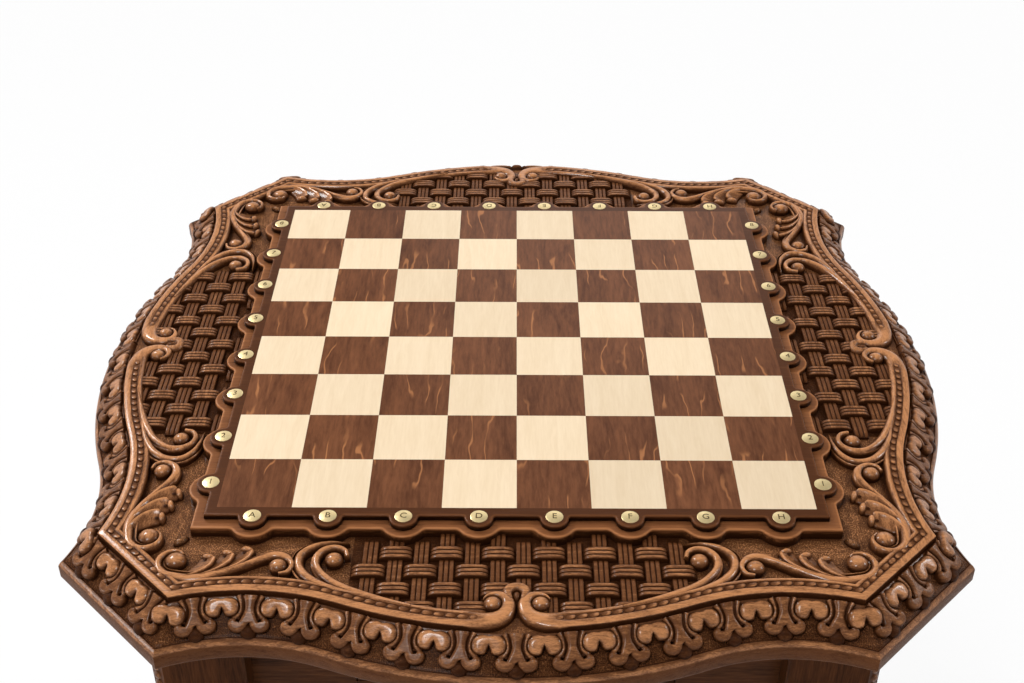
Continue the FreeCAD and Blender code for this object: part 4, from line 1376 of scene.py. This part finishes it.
def plateMesh(name, line, bottom, top, hole):
    # upright edge with a rounded arris; hole is half the square opening in its upper face, or nothing
    rounds = plates["edgeRound"]
    # lifts: the upright face darkens towards its foot, dark glaze with painted shade, and the arris is rubbed
    # light
    levels = [(0.25, bottom, 0.0), (0.0, bottom + 0.3, 0.05), (0.0, top - 2 * rounds, 0.28),
              (0.0, top - rounds, 0.7)]
    for turn in np.linspace(0, math.pi / 2, 5)[1:]:
        levels.append((rounds * (1 - math.cos(turn)), top - rounds + rounds * math.sin(turn), 1.0))
    levels.append((rounds * 2.2, top, 0.62))
    solid = bmesh.new()
    layer = solid.verts.layers.float.new("lift")
    rings = []
    for inset, level, lift in levels:
        ring = drawnIn(line, inset) if inset else line
        rings.append([solid.verts.new((x * mm, y * mm, level * mm)) for x, y in ring])
        for corner in rings[-1]:
            corner[layer] = lift
    for lower, upper in zip(rings, rings[1:]):
        for i in range(len(lower)):
            j = (i + 1) % len(lower)
            solid.faces.new((lower[i], lower[j], upper[j], upper[i]))
    solid.faces.new(rings[0][::-1])
    edges = [solid.edges.get((rings[-1][i], rings[-1][(i + 1) % len(line)])) for i in range(len(line))]
    if hole:
        square = [(-hole, -hole), (hole, -hole), (hole, hole), (-hole, hole)]
        upper = [solid.verts.new((x * mm, y * mm, top * mm)) for x, y in square]
        for corner in upper:
            corner[layer] = 0.55
        floor = [solid.verts.new((x * mm, y * mm, (bottom + plates["rebateFloor"]) * mm))
                 for x, y in square]
        for i in range(4):
            edges.append(solid.edges.new((upper[i], upper[(i + 1) % 4])))
        bmesh.ops.triangle_fill(solid, edges=edges, use_beauty=True)
        for i in range(4):
            j = (i + 1) % 4
            solid.faces.new((upper[i], upper[j], floor[j], floor[i]))
        solid.faces.new(floor)
    else:
        solid.faces.new(rings[-1])
    bmesh.ops.recalc_face_normals(solid, faces=solid.faces)
    mesh = bpy.data.meshes.new(name)
    solid.to_mesh(mesh)
    solid.free()
    mesh.shade_smooth()
    mesh.set_sharp_from_angle(angle=math.radians(plates["sharpAngle"]))
    return mesh


boardLine = lobedLine(plates["boardHalf"], plates["boardLobe"], plates["boardFillet"])
plinthLine = lobedLine(plates["plinthHalf"], plates["plinthLobe"], plates["plinthFillet"])
boardMesh = plateMesh("lobed board", boardLine, boardBase, boardTop, plates["fieldHalf"])
boardPiece = makePiece("lobed_board", boardMesh, finishes["boardFrame"])
settle(boardPiece, stands=["board_panel"])
plinthMesh = plateMesh("lobed plinth", plinthLine, fieldLevel, boardBase, None)
plinthPiece = makePiece("lobed_plinth", plinthMesh, finishes["plinth"])
settle(plinthPiece, stands=["board_plinth"])
print("plates made")

# Brass discs with plain coordinates
discs = {
    "cut": [(5.75, -0.5), (5.9, 0.0), (5.85, 0.25), (5.5, 0.42), (5.2, 0.40), (4.6, 0.52), (3.0, 0.70),
            (1.2, 0.79), (0.2, 0.8)],  # radius, and level over the board
    "columns": 28,
    "markSize": 7.0,
    "markDepth": 0.12,
    "markLevel": 0.7,
}
discPlaces = []
for side in range(4):
    discPlaces.extend(toSide([(along, plates["lobeLine"], boardTop) for along in lobePlaces()], side))
oneDisc = turnedShape(discs["cut"], discs["columns"], lift=0.5)
discMesh = placeEach("discs", oneDisc, 30.0, discPlaces, finishes["brass"])
settle(makePiece("brass_discs", discMesh), stands=["coordinate_discs"])


def markMesh(letters, place, turn):
    curve = bpy.data.curves.new("mark", "FONT")
    curve.body = letters
    curve.size = discs["markSize"] * mm
    curve.align_x = "CENTER"
    curve.align_y = "CENTER"
    curve.extrude = discs["markDepth"] * mm
    curve.resolution_u = 3
    holder = bpy.data.objects.new("mark", curve)
    bpy.context.scene.collection.objects.link(holder)
    bpy.context.view_layer.update()
    mesh = bpy.data.meshes.new_from_object(holder.evaluated_get(bpy.context.evaluated_depsgraph_get()))
    bpy.data.objects.remove(holder)
    mesh.transform(Matrix.Translation(Vector(place) * mm) @ turning(turn))
    return mesh


marks = bmesh.new()
for side in range(4):
    for lobe in range(plates["lobes"]):
        place = discPlaces[side * plates["lobes"] + lobe] + np.array([0, 0, discs["markLevel"]])
        rank = lobe if side < 2 else plates["lobes"] - 1 - lobe
        letters = "ABCDEFGH"[rank] if side % 2 == 0 else str(rank + 1)
        mark = markMesh(letters, place, 180 if side == 2 else 0)
        marks.from_mesh(mark)
        bpy.data.meshes.remove(mark)
marksMesh = bpy.data.meshes.new("disc marks")
marks.to_mesh(marksMesh)
marks.free()
settle(makePiece("disc_marks", marksMesh, finishes["engraved"]))
print("discs made")

# Legs: square beside the aprons, then an S-shaped taper; beads are carved along the outer arris
legs = {
    "inner": 184.0,
    "block": 66.4,
    "squareFoot": 558.0,
    "foot": 4.0,
    "curve": [(1.0, 1.0, 0.0), (0.9, 1.1, 0.06), (0.76, 1.03, 0.16), (0.55, 0.8, 0.22), (0.34, 0.66, 0.2),
              (0.17, 0.7, 0.2), (0.07, 0.98, 0.32), (0.0, 0.94, 0.38)],  # shares: height, outer and inner face
    "curveStep": 0.004,
    "rings": 60,
    "flat": (10.0, 7.0),  # across the arris, at the top and at the foot
    "bevel": 1.6,
    "beadRadius": 4.0,
    "beadPitch": 8.4,
    "beadSink": 1.0,
    "beadMargin": 4.0,  # from the ends of the square part
    "beadPole": 0.12,  # angle left open at each pole
    "beadRows": 7,
    "beadColumns": 10,
}


def legSection(outerShare, innerShare, flat, level):
    outer = legs["inner"] + outerShare * legs["block"]
    inner = legs["inner"] + innerShare * legs["block"]
    bevel = legs["bevel"]
    return [(inner, inner, level), (outer - bevel, inner, level), (outer, inner + bevel, level),
            (outer, outer - flat, level), (outer - flat, outer, level), (inner + bevel, outer, level),
            (inner, outer - bevel, level)]


def legShape():
    curve = np.array(legs["curve"])
    outer = smoothLine(curve[::-1, :2], legs["curveStep"])
    inner = smoothLine(curve[::-1, [0, 2]], legs["curveStep"])
    rings = [legSection(1.0, 0.0, legs["flat"][0], underside)]
    for share in np.linspace(1, 0, legs["rings"]):
        flat = legs["flat"][1] + (legs["flat"][0] - legs["flat"][1]) * share
        level = legs["foot"] + share * (legs["squareFoot"] - legs["foot"])
        outerShare = np.interp(share, outer[:, 0], outer[:, 1])
        innerShare = np.interp(share, inner[:, 0], inner[:, 1])
        rings.append(legSection(outerShare, innerShare, flat, level))
    shape = newShape()
    addTube(shape, rings, 0.5)
    return shape


oneLeg = legShape()
for turn, legName in enumerate(["back_right", "back_left", "front_left", "front_right"]):
    mesh = makeMesh("leg", oneLeg, sharpAngle=25.0)
    mesh.transform(turning(90 * turn))
    settle(makePiece("smooth_leg_" + legName, mesh, finishes["baseZ"]),
           stands=["leg_" + legName])
arris = legs["inner"] + legs["block"] - legs["flat"][0] / 2 - legs["beadSink"]
beadLevels = np.arange(legs["squareFoot"] + legs["beadMargin"], underside - legs["beadMargin"],
                       legs["beadPitch"])
beadPlaces = [(x * arris, y * arris, level) for level in beadLevels for x in (-1, 1) for y in (-1, 1)]
beadTurns = np.linspace(legs["beadPole"], math.pi - legs["beadPole"], legs["beadRows"])
ballCut = [(legs["beadRadius"] * math.sin(turn), -legs["beadRadius"] * math.cos(turn))
           for turn in beadTurns]
oneBall = turnedShape(ballCut, legs["beadColumns"], lift=0.7)
arrisMesh = placeEach("arris beads", oneBall, 60.0, beadPlaces, finishes["carvedZ"])
settle(makePiece("arris_beads", arrisMesh))

# Turned knobs
knobs = {
    "reach": 20.0,
    "outline": [(4.0, -11.8), (4.0, -0.05), (8.0, 0.02), (8.2, 1.2), (7.8, 2.4), (6.2, 3.4), (5.5, 5.6),
                (5.7, 7.4), (7.4, 8.8), (9.8, 10.4), (10.9, 12.6), (10.9, 14.4), (10.3, 16.2), (8.8, 17.9),
                (6.2, 19.2), (3.0, 19.8), (0.6, 19.95)],  # radius and level, from the spigot to the nose
    "columns": 32,
}
oneKnob = turnedShape(knobs["outline"], knobs["columns"], lift=0.5)
for end, turn in (("front", 0), ("back", 180)):
    node = end + "_drawer_knob"
    mesh = makeMesh("knob", oneKnob, sharpAngle=35.0)
    middle = (low(node) + high(node)) / 2
    face = (low(node).y + knobs["reach"]) if turn == 0 else -(high(node).y - knobs["reach"])
    seat = Matrix.Translation(Vector((0, face, middle.z)) * mm)
    mesh.transform(turning(turn) @ seat @ turning(90, "X"))
    settle(makePiece("turned_knob_" + end, mesh, finishes["brass"]), end + "_drawer", [node])
print("legs and knobs made")

# Floor, light and camera
stage = {
    "innerRadii": (0.02, 1.2),  # metres, as the rest
    "flatRadius": 2.6,
    "wallRadius": 4.0,
    "wallTop": 2.4,
    "columns": 64,
    "bendRows": 9,
    "colour": (0.93, 0.93, 0.93, 1),
    "glow": (0.82, 0.96),  # less near the feet, which keeps their shadow
    "glowReach": (0.4, 1.3),
    "worldLight": 0.22,
}


def makeFloor():
    # a round floor that curves up into a low wall
    bend = stage["wallRadius"] - stage["flatRadius"]
    cut = [(radius, 0.0) for radius in (*stage["innerRadii"], stage["flatRadius"])]
    for turn in np.linspace(0, math.pi / 2, stage["bendRows"])[1:]:
        cut.append((stage["flatRadius"] + bend * math.sin(turn), bend * (1 - math.cos(turn))))
    cut.append((stage["wallRadius"], stage["wallTop"]))
    steps = stage["columns"]
    points = [point for ring in turnedRings(cut, steps) for point in ring]
    faces = [tuple(range(steps))]
    for row in range(len(cut) - 1):
        for step in range(steps):
            a, b = row * steps + step, row * steps + (step + 1) % steps
            faces.append((a, a + steps, b + steps, b))
    mesh = bpy.data.meshes.new("floor")
    mesh.from_pydata(points, [], faces)
    mesh.shade_smooth()
    finish = bpy.data.materials.new("pale floor")
    finish.use_nodes = True
    tree = finish.node_tree
    tree.nodes.clear()
    paint = addNode(tree, "ShaderNodeBsdfDiffuse", Color=stage["colour"]).outputs[0]
    glow = addNode(tree, "ShaderNodeEmission", Color=(1, 1, 1, 1), Strength=1.0).outputs[0]
    path = addNode(tree, "ShaderNodeLightPath")
    seen = mathNode(tree, "MAXIMUM", path.outputs["Is Camera Ray"],
                    mathNode(tree, "MAXIMUM", path.outputs["Is Glossy Ray"],
                             path.outputs["Is Transmission Ray"]))
    place = addNode(tree, "ShaderNodeTexCoord").outputs["Object"]
    away = addNode(tree, "ShaderNodeVectorMath", {"operation": "LENGTH"}, i0=place).outputs["Value"]
    nearFar = ramp(tree, away, From_Min=stage["glowReach"][0], From_Max=stage["glowReach"][1],
                   To_Min=stage["glow"][0], To_Max=stage["glow"][1])
    share = mathNode(tree, "MULTIPLY", seen, nearFar)
    mix = addNode(tree, "ShaderNodeMixShader", i0=share, i1=paint, i2=glow)
    addNode(tree, "ShaderNodeOutputMaterial", Surface=mix.outputs[0])
    floor = makePiece("floor", mesh, finish)


def makeWorld():
    world = bpy.data.worlds.new("studio")
    world.use_nodes = True
    back = world.node_tree.nodes["Background"]
    back.inputs["Color"].default_value = (1, 1, 1, 1)
    back.inputs["Strength"].default_value = stage["worldLight"]
    bpy.context.scene.world = world


lamps = [
    {"name": "back left softbox", "place": (-1.5, 1.4, 2.4), "size": 0.6, "power": 36.0},
    {"name": "right softbox", "place": (2.0, 0.2, 1.9), "size": 0.5, "power": 15.0},
    {"name": "overhead softbox", "place": (-0.6, -1.1, 3.0), "size": 0.6, "power": 30.0},
    {"name": "left softbox", "place": (-2.3, -0.5, 1.3), "size": 0.6, "power": 14.0},
    {"name": "back softbox", "place": (0.2, 2.1, 2.0), "size": 0.9, "power": 3.0},
]


def makeLamps():
    target = Vector((0, 0, boardTop * mm))
    for lamp in lamps:
        light = bpy.data.lights.new(lamp["name"], "AREA")
        light.shape = "SQUARE"
        light.size = lamp["size"]
        light.energy = lamp["power"]
        holder = bpy.data.objects.new(lamp["name"], light)
        holder.location = lamp["place"]
        holder.rotation_euler = (target - holder.location).to_track_quat("-Z", "Y").to_euler()
        bpy.context.scene.collection.objects.link(holder)


view = {"lens": 48.85, "sensor": 36.0, "place": (-2.83, -895.6, 621.3), "down": 34.934, "turn": 0.056,
        "roll": 0.181}


def makeCamera():
    data = bpy.data.cameras.new("camera")
    data.sensor_fit = "HORIZONTAL"
    data.sensor_width = view["sensor"]
    data.lens = view["lens"]
    camera = bpy.data.objects.new("camera", data)
    camera.location = Vector(view["place"]) * mm + Vector((0, 0, boardTop * mm))
    aim = turning(view["turn"]) @ turning(90 - view["down"], "X") @ turning(view["roll"])
    camera.rotation_euler = aim.to_euler()
    bpy.context.scene.collection.objects.link(camera)
    bpy.context.scene.camera = camera


makeFloor()
makeWorld()
makeLamps()
makeCamera()
bpy.context.scene.view_settings.view_transform = "Standard"
print("stage set")
